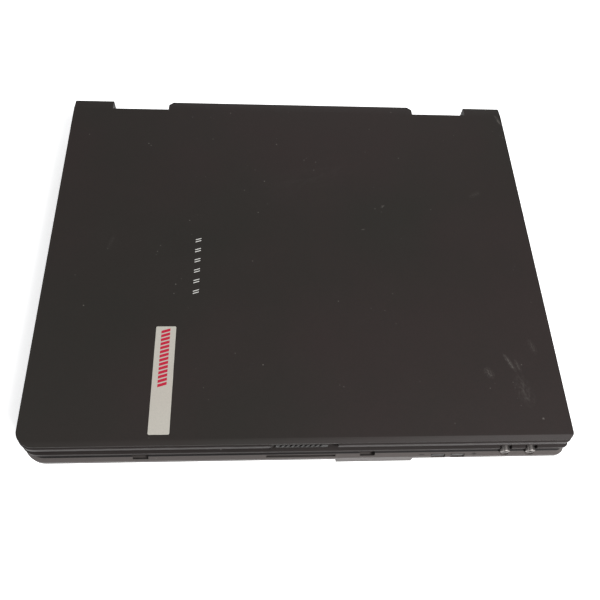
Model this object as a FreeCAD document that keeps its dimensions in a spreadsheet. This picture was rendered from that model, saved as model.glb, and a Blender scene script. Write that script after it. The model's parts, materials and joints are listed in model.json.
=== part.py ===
# A closed business laptop computer, in millimetres.
# +X is to the user's right, +Y is towards the hinges at the rear, +Z is up.
# The origin is on the table, below the middle of the machine.
import FreeCAD, Part
import math
import os
import re
import Sketcher

os.makedirs("parts", exist_ok=True)
doc = FreeCAD.newDocument("Laptop")

# ---------------------------------------------------------------------------
# Driving dimensions: each one is a cell of the sheet
# ---------------------------------------------------------------------------
SIZES = {
    # overall
    "case_width": 315,
    "case_depth": 259,
    "foot_height": 1.5,
    "base_height": 26.5,
    "lid_gap": 0.3,
    "lid_height": 10.2,
    # shells
    "case_wall": 2,
    "deck_wall": 1.8,
    "lid_wall": 1.8,
    "fit_gap": 0.3,
    "slide_gap": 0.4,
    # front edge, from the lip inwards
    "lip_height": 17,
    "lip_band": 5.2,
    "lip_slope": 2,
    "keel_inset": 6,
    "keel_side": 0.6,
    "bulge_left": 22,
    "bulge_right": 68,
    "bulge_lead": 4.4,
    "bulge_rise": 3.5,
    "groove_height": 1.3,
    "groove_inset": 4,
    "rib_inset": 2.7,
    "lid_inset": 4.7,
    "fascia_lead": 0.9,
    "fascia_height": 3.7,
    "fascia_foot": 2.9,
    "fascia_undercut": 2.2,
    "fascia_side": 0.1,
    "side_inset": 0.1,
    "lid_bevel_run": 3.1,
    "lid_bevel_drop": 1.3,
    # corner radii in plan
    "base_corner": 13,
    "base_corner_right": 6,
    "lid_corner_left": 9.5,
    "lid_corner_right": 4.5,
    "corner_cut": 0.6,
    # hinge
    "axis_setback": 5.5,
    "axis_rise": 2,
    "barrel_radius": 8.6,
    "trough_gap": 0.4,
    "lobe_depth": 8.3,
    "lobe_drop": 1.5,
    "notch_span": 40,
    "tab_width": 27.4,
    "hump_chamfer": 3,
    "tower_radius": 3.8,
    "tower_relief": 0.5,
    "pin_radius": 2,
    "pin_play": 0.05,
    "pin_reach": 11,
    "tower_gap": 0.8,
    # bays
    "battery_width": 96,
    "battery_depth": 76,
    "battery_height": 13,
    "battery_front": 24,
    "disk_width": 101,
    "disk_depth": 71,
    "disk_height": 11,
    "disk_front": 104,
    "label_margin": 6,
    "label_sink": 0.6,
    "drive_width": 128,
    "drive_depth": 129,
    "drive_height": 12.8,
    "drive_front": 24,
    "tray_height": 6,
    "tray_margin": 5,
    "card_width": 54,
    "card_depth": 84,
    "card_height": 10.6,
    "card_front": 179,
    "cage_rim": 3,
    "cage_roof": 1,
    # keyboard
    "key_pitch": 19,
    "key_gap": 2,
    "key_height": 4.4,
    "key_taper": 1.8,
    "key_travel": 2.4,
    "key_top_drop": 0.6,
    "function_pitch": 13,
    "key_field_rear": 22,
    "key_field_margin": 1,
    "tray_plate": 1.2,
    "dome_sheet": 0.5,
    # touchpad
    "pad_width": 62,
    "pad_depth": 44,
    "pad_front": 44,
    "pad_flange": 3,
    "pad_under": 1.6,
    "pad_sink": 0.6,
    "click_width": 29,
    "click_depth": 11,
    "click_gap": 2,
    "click_under": 1.2,
    # board
    "board_level": 7.5,
    "board_thick": 1.6,
    "board_post_in": 6,
    "board_post_radius": 2.2,
    "board_gap": 0.5,
    # fan
    "fan_radius": 20,
    "fan_height": 9,
    # lid parts
    "panel_width": 286,
    "panel_depth": 214,
    "panel_thick": 5.6,
    "screen_width": 272,
    "screen_depth": 204,
    "screen_margin": 5,
    "inverter_width": 130,
    "inverter_gap": 0.6,
    "inverter_thick": 3,
    "arm_side_in": 9,
    "arm_width": 6,
    "arm_length": 60,
    "arm_thick": 2.5,
    "bumper_side_in": 10.5,
    "bumper_front_in": 8,
    "bumper_rear_in": 24,
    "bumper_stand": 0.2,
    # latch
    "latch_left": 17.7,
    "latch_right": 20.8,
    "latch_half": 14.8,
    "latch_recess": 0.5,
    "latch_play": 0.2,
    "rib_start": 1.2,
    "rib_groove": 1.5,
    "rib_lean": 1.8,
    "rib_depth": 1,
    "rib_margin": 0.8,
    "rib_pitch": 2.8,
    "rib_count": 9,
    "latch_travel": 5,
    "hook_offset": 9,
    "hook_width": 3,
    # badge
    "badge_width": 11.9,
    "badge_length": 66,
    "badge_thick": 0.7,
    "badge_sink": 0.4,
    "badge_gap": 0.2,
    "badge_corner": 0.8,
    "badge_x": -79.9,
    "badge_from_front": 5.8,
    "mark_x": -63.4,
    "mark_from_front": 93.7,
    "mark_pitch": 7.56,
    "mark_width": 3.6,
    "mark_length": 3.6,
    "mark_thick": 0.1,
    # small round things
    "jack_radius": 3.1,
    "jack_bore": 1.8,
    "power_bore": 2.8,
    "foot_radius": 7,
    "foot_side_in": 19.5,
    "foot_front_in": 20,
    "foot_rear_in": 18,
    # boards
    "board_left": -50,
    "board_side_in": 5.5,
    "board_reach": 97,
    "board_rear_in": 22,
    "chip_x": 0,
    "chip_setback": 12,
    "chip_size": 32,
    "chip_height": 2.4,
    "spreader_thick": 1.5,
    "spreader_margin": 4,
    "pipe_sink": 0.8,
    "pipe_radius": 1.6,
    "fan_side_in": 31.5,
    "fan_setback": 26,
    "fan_frame": 23,
    "fan_floor": 1,
    "rotor_lift": 0.6,
    "rotor_drop": 0.8,
    "outlet_in": 2,
    "fan_axle": 1.2,
    "fan_hub": 9,
    "fan_blade": 1.2,
    "cell_x": -30,
    "cell_setback": 18,
    "cell_radius": 10,
    "cell_height": 3.2,
    "module_width": 67.6,
    "module_depth": 31.8,
    "module_height": 3.8,
    "power_pin": 0.9,
    "port_rim": 1.2,
    "port_back": 3,
    "blade_margin": 3,
    "blade_half": 2,
    "blade_sink": 1,
    "power_back": 2,
    "socket_sink": 0.6,
    # modules
    "tray_play": 0.3,
    "tray_rise": 3.6,
    "disc_sink": 2.2,
    "disc_radius": 57,
    "spindle_sink": 0.4,
    "spindle_radius": 9,
    "eject_bar_length": 16,
    "eject_bar_depth": 3.5,
    "eject_bar_height": 4,
    "eject_depth": 5,
    "eject_travel": 1.2,
    "eject_from_rear": 30,
    "eject_width": 8,
    "eject_foot": 2,
    "eject_roof": 1.6,
    "eject_stop": 0.2,
    "eject_bar_lift": 1,
    "eject_bar_gap": 0.6,
    # ledges, posts and screws of the bottom case
    "ledge_width": 4.5,
    "divider": 1.4,
    "divider_rise": 9,
    "post_radius": 3.2,
    "post_inset": 6,
    "post_setback": 10,
    "tower_plate": 2,
    "tower_toe": 4,
    "tower_heel": 0.3,
    "screw_head": 2.9,
    "screw_shank": 1.4,
    "screw_sink": 1.3,
    "screw_length": 5,
    "head_sink": 0.2,
    "head_overlap": 0.1,
    "shank_short": 1,
    "screw_side_in": 8.5,
    "screw_mid": 60,
    "screw_front_in": 13,
    "screw_rear_in": 9,
    "vent_from_rear": 92,
    "vent_slot": 2.6,
    "vent_count": 9,
    "vent_span": 41,
    "vent_foot_rise": 8.5,
    "vent_height": 6.5,
    "door_width": 76,
    "door_depth": 44,
    "door_x": -11,
    "door_front_in": 89,
    "dock_width": 62,
    "dock_depth": 9,
    "dock_rim": 2,
    "dock_lip": 2.5,
    "dock_sink": 0.4,
    "dock_bite": 1.5,
    "dock_setback": 42,
    "release_overhang": 7.5,
    "release_width": 14,
    "release_setback": 31,
    "release_depth": 8,
    "release_travel": 5,
    "release_pocket": 3,
    "notch_left_x": -91.3,
    "notch_right_x": 38.7,
    "notch_width": 8.8,
    "notch_depth": 2.4,
    "notch_setback": 0.9,
    "notch_drop": 4,
    "slot_half": 20,
    "slot_setback": 0.8,
    "slot_width": 1,
    "slot_drop": 3,
    "volume_down_in": 76.8,
    "volume_up_in": 65.2,
    "volume_width": 7.6,
    "volume_height": 3,
    "volume_recess": 0.7,
    "button_gap": 0.3,
    "phones_in": 37.4,
    "microphone_in": 22.2,
    "jack_lift": 0.7,
    "jack_length": 14,
    "jack_floor": 1,
    "jack_window": 4.4,
    "jack_clear": 0.5,
    "jack_stand": 1.2,
    "socket_rise": 3.5,
    "jack_block": 10,
    "phone_width": 13,
    "phone_height": 11,
    "port_height": 11.5,
    "parallel_width": 53,
    "serial_width": 31,
    "usb_width": 14,
    "usb_height": 6.8,
    "port_depth": 13,
    "power_x": 136,
    "phone_x": -71,
    "parallel_x": -33,
    "serial_x": 14,
    "video_x": 50,
    "usb_x": 76,
    "keys_across": 15,
    "pan_wall": 1.2,
    "power_button_x": 122,
    "power_button_y": 15,
    "power_button_radius": 5,
    "power_button_skirt": 1.6,
    "hook_setback": 5,
    "hook_length": 2.4,
    "hook_reach": 5.2,
    "panel_front": 15,
    "bumper_radius": 3,
    "rotor_gap": 0.8,
    "speaker_x": 96,
    "speaker_y": 40,
    "speaker_width": 42,
    "speaker_depth": 26,
    "speaker_height": 6,
}

# Places that follow from the sizes; each may use the names above and below
PLACES = {
    "side": "case_width / 2",
    "front": "-case_depth / 2",
    "rear": "case_depth / 2",
    "case_floor": "foot_height",
    "deck": "foot_height + base_height",
    "lid_floor": "deck + lid_gap",
    "top": "lid_floor + lid_height",
    "inner_floor": "case_floor + case_wall",
    "keel_half": "side - keel_side",
    "inner_side": "keel_half - case_wall",
    "lip_top": "case_floor + lip_height + lip_band",
    "lip_foot": "case_floor + lip_height",
    "lid_front": "front + lid_inset",
    "crease": "rear - lobe_depth",
    "axis_y": "rear - axis_setback",
    "axis_z": "deck + axis_rise",
    "trough_radius": "barrel_radius + trough_gap",
    "trough_front": "axis_y - trough_radius",
    "fascia_top": "lid_floor + fascia_foot + fascia_height",
    "cover_foot": "fascia_top + fit_gap",
    "lid_side": "side - side_inset",
    "notch_outer": "lid_side - tab_width",
    "hump_half": "notch_outer - notch_span",
    "bay_level": "inner_floor + slide_gap",
    "battery_y": "front + battery_front",
    "disk_y": "front + disk_front",
    "drive_y": "front + drive_front",
    "card_y": "front + card_front",
    "drive_x": "side - drive_width",
    "ledge": "case_wall + ledge_width",
    "groove_foot": "lip_top",
    "rib_foot": "lip_top + groove_height",
    "deck_under": "deck - deck_wall",
    "key_foot": "deck - key_top_drop - key_height",
    "dome_top": "key_foot - key_travel - fit_gap",
    "plate_top": "dome_top - dome_sheet",
    "plate_foot": "plate_top - tray_plate",
    "field_half": "keys_across * key_pitch / 2",
    "field_rear": "trough_front - key_field_rear",
    "field_front": "field_rear - function_pitch - 5 * key_pitch",
    "pan_half": "field_half + key_field_margin",
    "board_top": "board_level + board_thick",
    "front_inside": "front + keel_inset + case_wall",
    "barrel_front": "axis_y - barrel_radius",
    "pad_y": "front + pad_front",
    "click_y": "pad_y - click_gap - click_depth",
    "jack_z": "lip_top + jack_lift",
    "volume_z": "lip_foot + lip_band / 2",
    "latch_y": "lid_front - fascia_lead",
    "hook_y": "lid_front + hook_setback",
    "bezel_face": "lid_floor + lid_wall",
    "panel_y": "lid_front + panel_front",
    "fascia_foot_z": "lid_floor + fascia_foot",
    "arm_end": "barrel_front - 2 * fit_gap - lid_wall",
    "badge_y": "lid_front + badge_from_front",
    "mark_y": "lid_front + mark_from_front",
    "bumper_front": "lid_front + bumper_front_in",
    "bumper_rear": "rear - bumper_rear_in",
    "foot_front": "front + foot_front_in",
    "foot_rear": "rear - foot_rear_in",
    "board_rear_post": "rear - board_rear_in",
    "tray_foot": "bay_level + tray_rise",
    "eject_bar_y": "card_y + card_width + divider + eject_bar_gap",
    "eject_bar_foot": "bay_level + eject_bar_lift",
    "eject_y": "drive_y + drive_depth - eject_from_rear",
    "power_button_place": "field_rear + power_button_y",
    "divider_top": "inner_floor + divider_rise",
    "tower_foot": "axis_z - trough_radius - deck_wall - fit_gap - tower_plate",
    "screw_x": "side - screw_side_in",
    "foot_x": "side - foot_side_in",
    "arm_x": "side - arm_side_in",
    "bumper_x": "side - bumper_side_in",
    "phones_x": "side - phones_in",
    "microphone_x": "side - microphone_in",
    "volume_down_x": "side - volume_down_in",
    "volume_up_x": "side - volume_up_in",
    "board_right": "side - board_side_in",
    "board_front": "rear - board_reach",
    "chip_y": "board_front + chip_setback",
    "cell_y": "board_front + cell_setback",
    "fan_x": "side - fan_side_in",
    "fan_y": "board_front + fan_setback",
    "dock_y": "board_front + dock_setback",
    "rotor_foot": "board_top + fan_floor + rotor_lift",
    "rotor_top": "board_top + fan_height - rotor_drop",
    "door_y": "front + door_front_in",
    "release_x": "-side + battery_width + release_overhang",
    "release_y": "battery_y + release_setback",
    "tower_post_in": "hump_half + post_inset",
    "tower_post_out": "notch_outer - post_inset",
    "tower_post_y": "axis_y - post_setback",
    "screw_front": "front + screw_front_in",
    "screw_rear": "rear - screw_rear_in",
    "screw_top": "inner_floor + screw_length",
    "vent_y": "rear - vent_from_rear",
    "vent_foot": "case_floor + vent_foot_rise",
    "vent_top": "vent_foot + vent_height",
    "socket_foot": "case_floor + socket_rise",
}

sheet = doc.addObject("Spreadsheet::Sheet", "Sizes")
for row, (alias, number) in enumerate(SIZES.items(), start=1):
    sheet.set("A%d" % row, alias)
    sheet.set("B%d" % row, str(number))
    sheet.setAlias("B%d" % row, alias)
doc.recompute()


def linked(text):
    """Turn words such as 'side - case_wall' into an expression on the sheet's cells."""
    def swap(match):
        word = match.group()
        if word in PLACES:
            return "(" + linked(PLACES[word]) + ")"
        if word in SIZES:
            return "Sizes." + word
        return word
    return re.sub(r"[a-z]\w*", swap, str(text))


def size(text):
    """The number that such words stand for now."""
    return float(sheet.evalExpression(linked(text)))


# ---------------------------------------------------------------------------
# Part Design helpers: a body grows by blocks and discs and is pocketed by them
# ---------------------------------------------------------------------------
PLANES = {"X": "YZ_Plane", "Y": "XZ_Plane", "Z": "XY_Plane"}


def new_body(label):
    body = doc.addObject("PartDesign::Body", label)
    body.Label = label
    return body


def new_sketch(body, axis, level):
    """An empty sketch square to an axis, at a level along it."""
    role = PLANES[axis]
    plane = next(item for item in body.Origin.OriginFeatures if item.Role == role)
    sketch = body.newObject("Sketcher::SketchObject", body.Label + "_sketch")
    sketch.AttachmentSupport = (plane, "")
    sketch.MapMode = "FlatFace"
    lift = "-(" + linked(level) + ")" if axis == "Y" else linked(level)
    sketch.setExpression("AttachmentOffset.Base.z", lift)
    return sketch


def draw_polygon(sketch, points):
    """Straight lines through points, each one held to the origin by two distances."""
    count = len(points)
    spots = [FreeCAD.Vector(size(u), size(v), 0) for u, v in points]
    for index in range(count):
        sketch.addGeometry(Part.LineSegment(spots[index], spots[(index + 1) % count]), False)
    for index in range(count):
        following = (index + 1) % count
        sketch.addConstraint(Sketcher.Constraint("Coincident", index, 2, following, 1))
    for index, (u, v) in enumerate(points):
        for kind, words, number in (("DistanceX", u, spots[index].x), ("DistanceY", v, spots[index].y)):
            held = sketch.addConstraint(Sketcher.Constraint(kind, -1, 1, index, 1, number))
            sketch.setExpression("Constraints[%d]" % held, linked(words))


def draw_circle(sketch, u, v, radius):
    spot = FreeCAD.Vector(size(u), size(v), 0)
    ring = sketch.addGeometry(Part.Circle(spot, FreeCAD.Vector(0, 0, 1), size(radius)), False)
    for kind, words, number in (("DistanceX", u, spot.x), ("DistanceY", v, spot.y)):
        held = sketch.addConstraint(Sketcher.Constraint(kind, -1, 1, ring, 3, number))
        sketch.setExpression("Constraints[%d]" % held, linked(words))
    held = sketch.addConstraint(Sketcher.Constraint("Radius", ring, size(radius)))
    sketch.setExpression("Constraints[%d]" % held, linked(radius))


def rectangle(u0, u1, v0, v1):
    return [(u0, v0), (u1, v0), (u1, v1), (u0, v1)]


def cavity(half, y0, y1, radius):
    """A rectangle whose front corners are cut back, so that it stays inside round corners."""
    back = "(" + radius + ") * corner_cut"
    return [("-(" + half + ") + " + back, y0), (half + " - " + back, y0), (half, y0 + " + " + back),
            (half, y1), ("-(" + half + ")", y1), ("-(" + half + ")", y0 + " + " + back)]


def feature(body, kind, axis, low, high, outlines):
    """Pad or pocket some outlines between two levels of an axis."""
    forward = kind == "PartDesign::Pad"
    starts_low = forward != (axis == "Y")
    sketch = new_sketch(body, axis, low if starts_low else high)
    for outline in outlines:
        if outline[0] == "circle":
            draw_circle(sketch, *outline[1:])
        else:
            draw_polygon(sketch, outline)
    step = body.newObject(kind, body.Label + "_step")
    step.Profile = sketch
    step.setExpression("Length", "(" + linked(high) + ") - (" + linked(low) + ")")
    return step


def pad(body, axis, low, high, *outlines):
    return feature(body, "PartDesign::Pad", axis, low, high, outlines)


def pocket(body, axis, low, high, *outlines):
    return feature(body, "PartDesign::Pocket", axis, low, high, outlines)


def raise_box(body, x0, x1, y0, y1, z0, z1):
    return pad(body, "Z", z0, z1, rectangle(x0, x1, y0, y1))


def sink_box(body, x0, x1, y0, y1, z0, z1):
    return pocket(body, "Z", z0, z1, rectangle(x0, x1, y0, y1))


def upright_near(x, y, reach=1.0):
    """Chooses vertical edges that stand near a point in plan."""
    def choose(edge):
        box = edge.BoundBox
        flat = box.XLength < 0.01 and box.YLength < 0.01
        return flat and math.hypot(box.Center.x - size(x), box.Center.y - size(y)) < reach
    return choose


def edge_names(shape, choose):
    return ["Edge%d" % (number + 1) for number, edge in enumerate(shape.Edges) if choose(edge)]


def dress(body, kind, amount, choose):
    """Fillet or chamfer the chosen edges of what the body holds so far."""
    doc.recompute()
    tip = body.Tip
    names = edge_names(tip.Shape, choose)
    if not names:
        raise ValueError("no edges chosen on " + body.Label)
    step = body.newObject(kind, body.Label + "_edges")
    step.Base = (tip, names)
    step.setExpression("Radius" if kind == "PartDesign::Fillet" else "Size", linked(amount))
    return step


def fillet(body, amount, choose):
    return dress(body, "PartDesign::Fillet", amount, choose)


def chamfer(body, amount, choose):
    return dress(body, "PartDesign::Chamfer", amount, choose)


# ---------------------------------------------------------------------------
# Part helpers: boxes, rods, cuts and groups, each bound to the sheet
# ---------------------------------------------------------------------------
TURNS = {
    "X": FreeCAD.Rotation(FreeCAD.Vector(0, 1, 0), 90),
    "Y": FreeCAD.Rotation(FreeCAD.Vector(1, 0, 0), -90),
    "Z": FreeCAD.Rotation(),
}


def put(item, x, y, z):
    for letter, words in (("x", x), ("y", y), ("z", z)):
        item.setExpression("Placement.Base." + letter, linked(words))
    return item


def box(label, x0, x1, y0, y1, z0, z1):
    item = doc.addObject("Part::Box", label)
    for side_name, low, high in (("Length", x0, x1), ("Width", y0, y1), ("Height", z0, z1)):
        item.setExpression(side_name, "(" + linked(high) + ") - (" + linked(low) + ")")
    return put(item, x0, y0, z0)


def rod(label, axis, x, y, z, radius, length):
    """A round bar that starts at a point and runs along a positive axis."""
    item = doc.addObject("Part::Cylinder", label)
    item.Placement = FreeCAD.Placement(FreeCAD.Vector(), TURNS[axis])
    item.setExpression("Radius", linked(radius))
    item.setExpression("Height", linked(length))
    return put(item, x, y, z)


def join(label, *pieces):
    item = doc.addObject("Part::MultiFuse", label)
    item.Shapes = list(pieces)
    item.Refine = True
    return item


def cut(label, base, *tools):
    item = doc.addObject("Part::Cut", label)
    item.Base = base
    item.Tool = tools[0] if len(tools) == 1 else join(label + "_tools", *tools)
    item.Refine = True
    return item


def group(label, *pieces):
    """Separate solids that share one node."""
    item = doc.addObject("Part::Compound", label)
    item.Links = list(pieces)
    return item


NODES = []


def keep(item):
    """Marks a finished sub-part: its label names its file."""
    NODES.append(item)
    return item


# ---------------------------------------------------------------------------
# Bottom case: a tray with bays in its sides and sockets in its rear wall
# ---------------------------------------------------------------------------
def socket_hole(body, x, width, low, high):
    """A square window through the rear wall."""
    half = "(" + width + ") / 2"
    pocket(body, "Y", "rear - case_wall - 1", "rear + 1",
           rectangle(x + " - " + half, x + " + " + half, low, high))


def make_bottom_case():
    body = new_body("bottom_case")
    raise_box(body, "-keel_half", "keel_half", "front + keel_inset", "rear", "case_floor", "lip_foot")
    raise_box(body, "-side", "side", "front", "rear", "lip_foot", "lip_top")
    raise_box(body, "bulge_left", "bulge_right", "front + keel_inset - bulge_lead",
              "front + keel_inset + 1", "case_floor + bulge_rise", "lip_foot")
    for hand, corner in (("-", "base_corner"), ("", "base_corner_right")):
        fillet(body, corner, upright_near(hand + "side", "front"))
        fillet(body, "base_corner", upright_near(hand + "keel_half", "front + keel_inset"))
    chamfer(body, "lip_slope", lambda edge: edge.BoundBox.ZMin > size("lip_top") - 0.01
            and edge.BoundBox.YMin < size("rear") - 0.01)
    pocket(body, "Z", "lip_foot", "lip_top",
           cavity("side - ledge", "front_inside", "rear - case_wall", "base_corner - case_wall"))
    pocket(body, "Z", "inner_floor", "lip_foot",
           cavity("inner_side", "front_inside", "rear - case_wall", "base_corner - case_wall"))
    # the trough that the lid's barrel turns in passes over the rear wall
    pocket(body, "X", "-side - 1", "side + 1", ("circle", "axis_y", "axis_z", "trough_radius"))
    # side openings: battery, disk and cards at the left, the drive at the right
    for low, depth, height in (("battery_y", "battery_depth", "battery_height"),
                               ("disk_y", "disk_depth", "disk_height"),
                               ("card_y", "card_width", "card_height")):
        pocket(body, "X", "-side - 1", "-side + ledge + 1",
               rectangle(low + " - slide_gap", low + " + " + depth + " + slide_gap",
                         "inner_floor", "bay_level + slide_gap + " + height))
    pocket(body, "X", "side - ledge - 1", "side + 1",
           rectangle("drive_y - slide_gap", "drive_y + drive_depth + slide_gap",
                     "inner_floor", "bay_level + slide_gap + drive_height"))
    pocket(body, "X", "-side - 1", "-inner_side + 1",
           rectangle("eject_bar_y - fit_gap", "eject_bar_y + eject_bar_depth + fit_gap",
                     "eject_bar_foot - fit_gap", "eject_bar_foot + eject_bar_height + fit_gap"))
    # low walls between the bays
    for wall_x0, wall_x1, wall_y in (
            ("-inner_side", "-side + battery_width", "battery_y - slide_gap - divider"),
            ("-inner_side", "-side + battery_width", "disk_y - slide_gap - divider"),
            ("drive_x", "inner_side", "drive_y - slide_gap - divider"),
            ("drive_x", "inner_side", "drive_y + drive_depth + slide_gap")):
        raise_box(body, wall_x0, wall_x1, wall_y, wall_y + " + divider", "inner_floor", "divider_top")
    # posts for the hinge towers, each with a hole for its screw
    posts = [("circle", hand + post_x, "tower_post_y", "post_radius")
             for hand in ("", "-") for post_x in ("tower_post_in", "tower_post_out")]
    pad(body, "Z", "inner_floor", "tower_foot", *posts)
    # windows for the sockets
    for x, width, low, high in SOCKETS.values():
        socket_hole(body, x, width, low, high)
    # warm air leaves the right side through a row of slots
    first = pocket(body, "X", "inner_side - 1", "side + 1",
                   rectangle("vent_y", "vent_y + vent_slot", "vent_foot", "vent_top"))
    row = body.newObject("PartDesign::LinearPattern", "vent_row")
    row.Originals = [first]
    row.Direction = (first.Profile[0], ["H_Axis"])
    row.setExpression("Length", linked("vent_span"))
    row.setExpression("Occurrences", linked("vent_count"))
    body.Tip = row
    # openings in the floor: memory door, docking connector and battery latch
    sink_box(body, "-door_width / 2 + door_x - fit_gap", "door_width / 2 + door_x + fit_gap",
             "door_y - fit_gap", "door_y + door_depth + fit_gap", "case_floor - 1", "inner_floor + 1")
    sink_box(body, "-dock_width / 2 - fit_gap", "dock_width / 2 + fit_gap", "dock_y - fit_gap",
             "dock_y + dock_depth + fit_gap", "case_floor - 1", "inner_floor + 1")
    sink_box(body, "release_x - release_travel - fit_gap", "release_x + release_width + fit_gap",
             "release_y - fit_gap", "release_y + release_depth + fit_gap",
             "case_floor - 1", "inner_floor + 1")
    # front lip: two notches and a thin slot in its slope, two buttons and two jacks
    for notch_x in ("notch_left_x", "notch_right_x"):
        sink_box(body, notch_x + " - notch_width / 2", notch_x + " + notch_width / 2",
                 "front + notch_setback", "front + notch_setback + notch_depth",
                 "lip_top - notch_drop", "lip_top + 1")
    sink_box(body, "-slot_half", "slot_half", "front + slot_setback",
             "front + slot_setback + slot_width", "lip_top - slot_drop", "lip_top + 1")
    for button_x in ("volume_down_x", "volume_up_x"):
        pocket(body, "Y", "front - 1", "front_inside + 1",
               rectangle(button_x + " - volume_width / 2 - button_gap",
                         button_x + " + volume_width / 2 + button_gap",
                         "volume_z - volume_height / 2 - button_gap",
                         "volume_z + volume_height / 2 + button_gap"))
    pocket(body, "Y", "front - 1", "front_inside + 1",
           ("circle", "phones_x", "jack_z", "jack_radius"),
           ("circle", "microphone_x", "jack_z", "jack_radius"))
    # screw holes in the floor
    heads = [("circle", x, y, "screw_head") for x, y in SCREWS]
    shanks = [("circle", x, y, "screw_shank") for x, y in SCREWS]
    bosses = [("circle", x, y, "post_radius") for x, y in SCREWS]
    pad(body, "Z", "inner_floor", "screw_top", *bosses)
    pocket(body, "Z", "case_floor - 1", "case_floor + screw_sink", *heads)
    pocket(body, "Z", "case_floor + screw_sink - 0.5", "screw_top", *shanks)
    return keep(body)


# x, width, lowest and highest level of each socket in the rear wall
SOCKETS = {
    "power_jack": ("power_x", "jack_block", "socket_foot", "socket_foot + jack_block"),
    "phone_jack": ("phone_x", "phone_width", "socket_foot", "socket_foot + phone_height"),
    "parallel_port": ("parallel_x", "parallel_width", "socket_foot", "socket_foot + port_height"),
    "serial_port": ("serial_x", "serial_width", "socket_foot", "socket_foot + port_height"),
    "video_port": ("video_x", "serial_width", "socket_foot", "socket_foot + port_height"),
    "usb_port": ("usb_x", "usb_width", "socket_foot", "socket_foot + usb_height"),
}
SCREWS = [("-screw_x", "screw_front"), ("screw_x", "screw_front"), ("-screw_mid", "screw_front"),
          ("screw_mid", "screw_front"), ("-screw_x", "screw_rear"), ("screw_x", "screw_rear")]


# ---------------------------------------------------------------------------
# Top cover: palm rest, keyboard opening and the trough for the lid's barrel
# ---------------------------------------------------------------------------
def make_top_cover():
    body = new_body("top_cover")
    raise_box(body, "-side + groove_inset", "side - groove_inset", "front + groove_inset",
              "trough_front", "groove_foot", "rib_foot")
    raise_box(body, "-side", "side", "front + rib_inset", "trough_front", "rib_foot", "deck")
    for hand, corner in (("-", "base_corner"), ("", "base_corner_right")):
        fillet(body, corner + " - rib_inset", upright_near(hand + "side", "front + rib_inset"))
        fillet(body, corner + " - groove_inset",
               upright_near(hand + "(side - groove_inset)", "front + groove_inset"))
    pocket(body, "Z", "groove_foot", "deck_under",
           cavity("side - groove_inset - deck_wall", "front + groove_inset + deck_wall",
                  "trough_front - deck_wall", "base_corner - groove_inset"))
    # the trough is a curved wall round the hinge axis, closed where it meets the rear wall
    pad(body, "X", "-side + ledge + fit_gap", "side - ledge - fit_gap",
        ("circle", "axis_y", "axis_z", "trough_radius + deck_wall"))
    pocket(body, "Z", "deck", "axis_z + trough_radius + deck_wall + 1",
           rectangle("-side", "side", "trough_front", "rear + trough_radius"))
    pocket(body, "Z", "deck", "axis_z + trough_radius + deck_wall + 1",
           rectangle("-side", "side", "trough_front - deck_wall - 2", "rear"))
    pocket(body, "Z", "0", "axis_z", rectangle("-side", "side", "rear - case_wall - fit_gap",
                                               "rear + trough_radius"))
    pocket(body, "X", "-side - 1", "side + 1", ("circle", "axis_y", "axis_z", "trough_radius"))
    for low, high in (("-notch_outer", "-hump_half"), ("hump_half", "notch_outer")):
        sink_box(body, low + " + tower_gap - fit_gap", high + " - tower_gap + fit_gap",
                 "axis_y - tower_radius - fit_gap", "axis_y + tower_radius + fit_gap", "0", "deck")
    # openings in the deck
    sink_box(body, "-pan_half", "pan_half", "field_front - key_field_margin",
             "field_rear + key_field_margin", "deck_under - 1", "deck + 1")
    sink_box(body, "-pad_width / 2", "pad_width / 2", "pad_y", "pad_y + pad_depth",
             "deck_under - 1", "deck + 1")
    for hand in ("-", ""):
        sink_box(body, hand + "(click_gap / 2 + click_width / 2) - click_width / 2 - button_gap",
                 hand + "(click_gap / 2 + click_width / 2) + click_width / 2 + button_gap",
                 "click_y - button_gap", "click_y + click_depth + button_gap",
                 "deck_under - 1", "deck + 1")
        sink_box(body, hand + "hook_offset - hook_width / 2 - fit_gap",
                 hand + "hook_offset + hook_width / 2 + latch_travel + fit_gap",
                 "hook_y - fit_gap", "hook_y + hook_length + fit_gap", "groove_foot - 1", "deck + 1")
    pocket(body, "Z", "deck_under - 1", "deck + 1",
           ("circle", "power_button_x", "power_button_place", "power_button_radius + button_gap"))
    pocket(body, "Y", "front - 1", "front + jack_stand + jack_length + fit_gap",
           ("circle", "phones_x", "jack_z", "jack_radius"),
           ("circle", "microphone_x", "jack_z", "jack_radius"))
    # the ends of the jacks are open from above
    for jack_x in ("phones_x", "microphone_x"):
        sink_box(body, jack_x + " - jack_radius - jack_clear", jack_x + " + jack_radius + jack_clear",
                 "front - 1", "front + jack_window", "groove_foot - 1", "deck + 1")
    return keep(body)


# ---------------------------------------------------------------------------
# Keyboard: a pan below the deck, a rubber dome sheet, and tapered key caps
# ---------------------------------------------------------------------------
KEY_ROWS = {
    "keys_function": [1] * 15,
    "keys_number": [1] * 13 + [2],
    "keys_upper": [1.5] + [1] * 12 + [1.5],
    "keys_home": [1.75] + [1] * 11 + [2.25],
    "keys_lower": [2.25] + [1] * 10 + [2.75],
    "keys_bottom": [1] * 4 + [0] + [1] * 5,
}
SPACE_UNITS = 6


def make_keyboard_tray():
    body = new_body("keyboard_tray")
    raise_box(body, "-pan_half - pan_wall", "pan_half + pan_wall",
              "field_front - key_field_margin - pan_wall",
              "field_rear + key_field_margin + pan_wall", "plate_foot", "deck_under")
    sink_box(body, "-pan_half", "pan_half", "field_front - key_field_margin",
             "field_rear + key_field_margin", "plate_top", "deck_under")
    return keep(body)


def make_dome_sheet():
    sheet_box = box("dome_sheet", "-pan_half + fit_gap", "pan_half - fit_gap",
                    "field_front", "field_rear", "plate_top", "dome_top")
    return keep(sheet_box)


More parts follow.
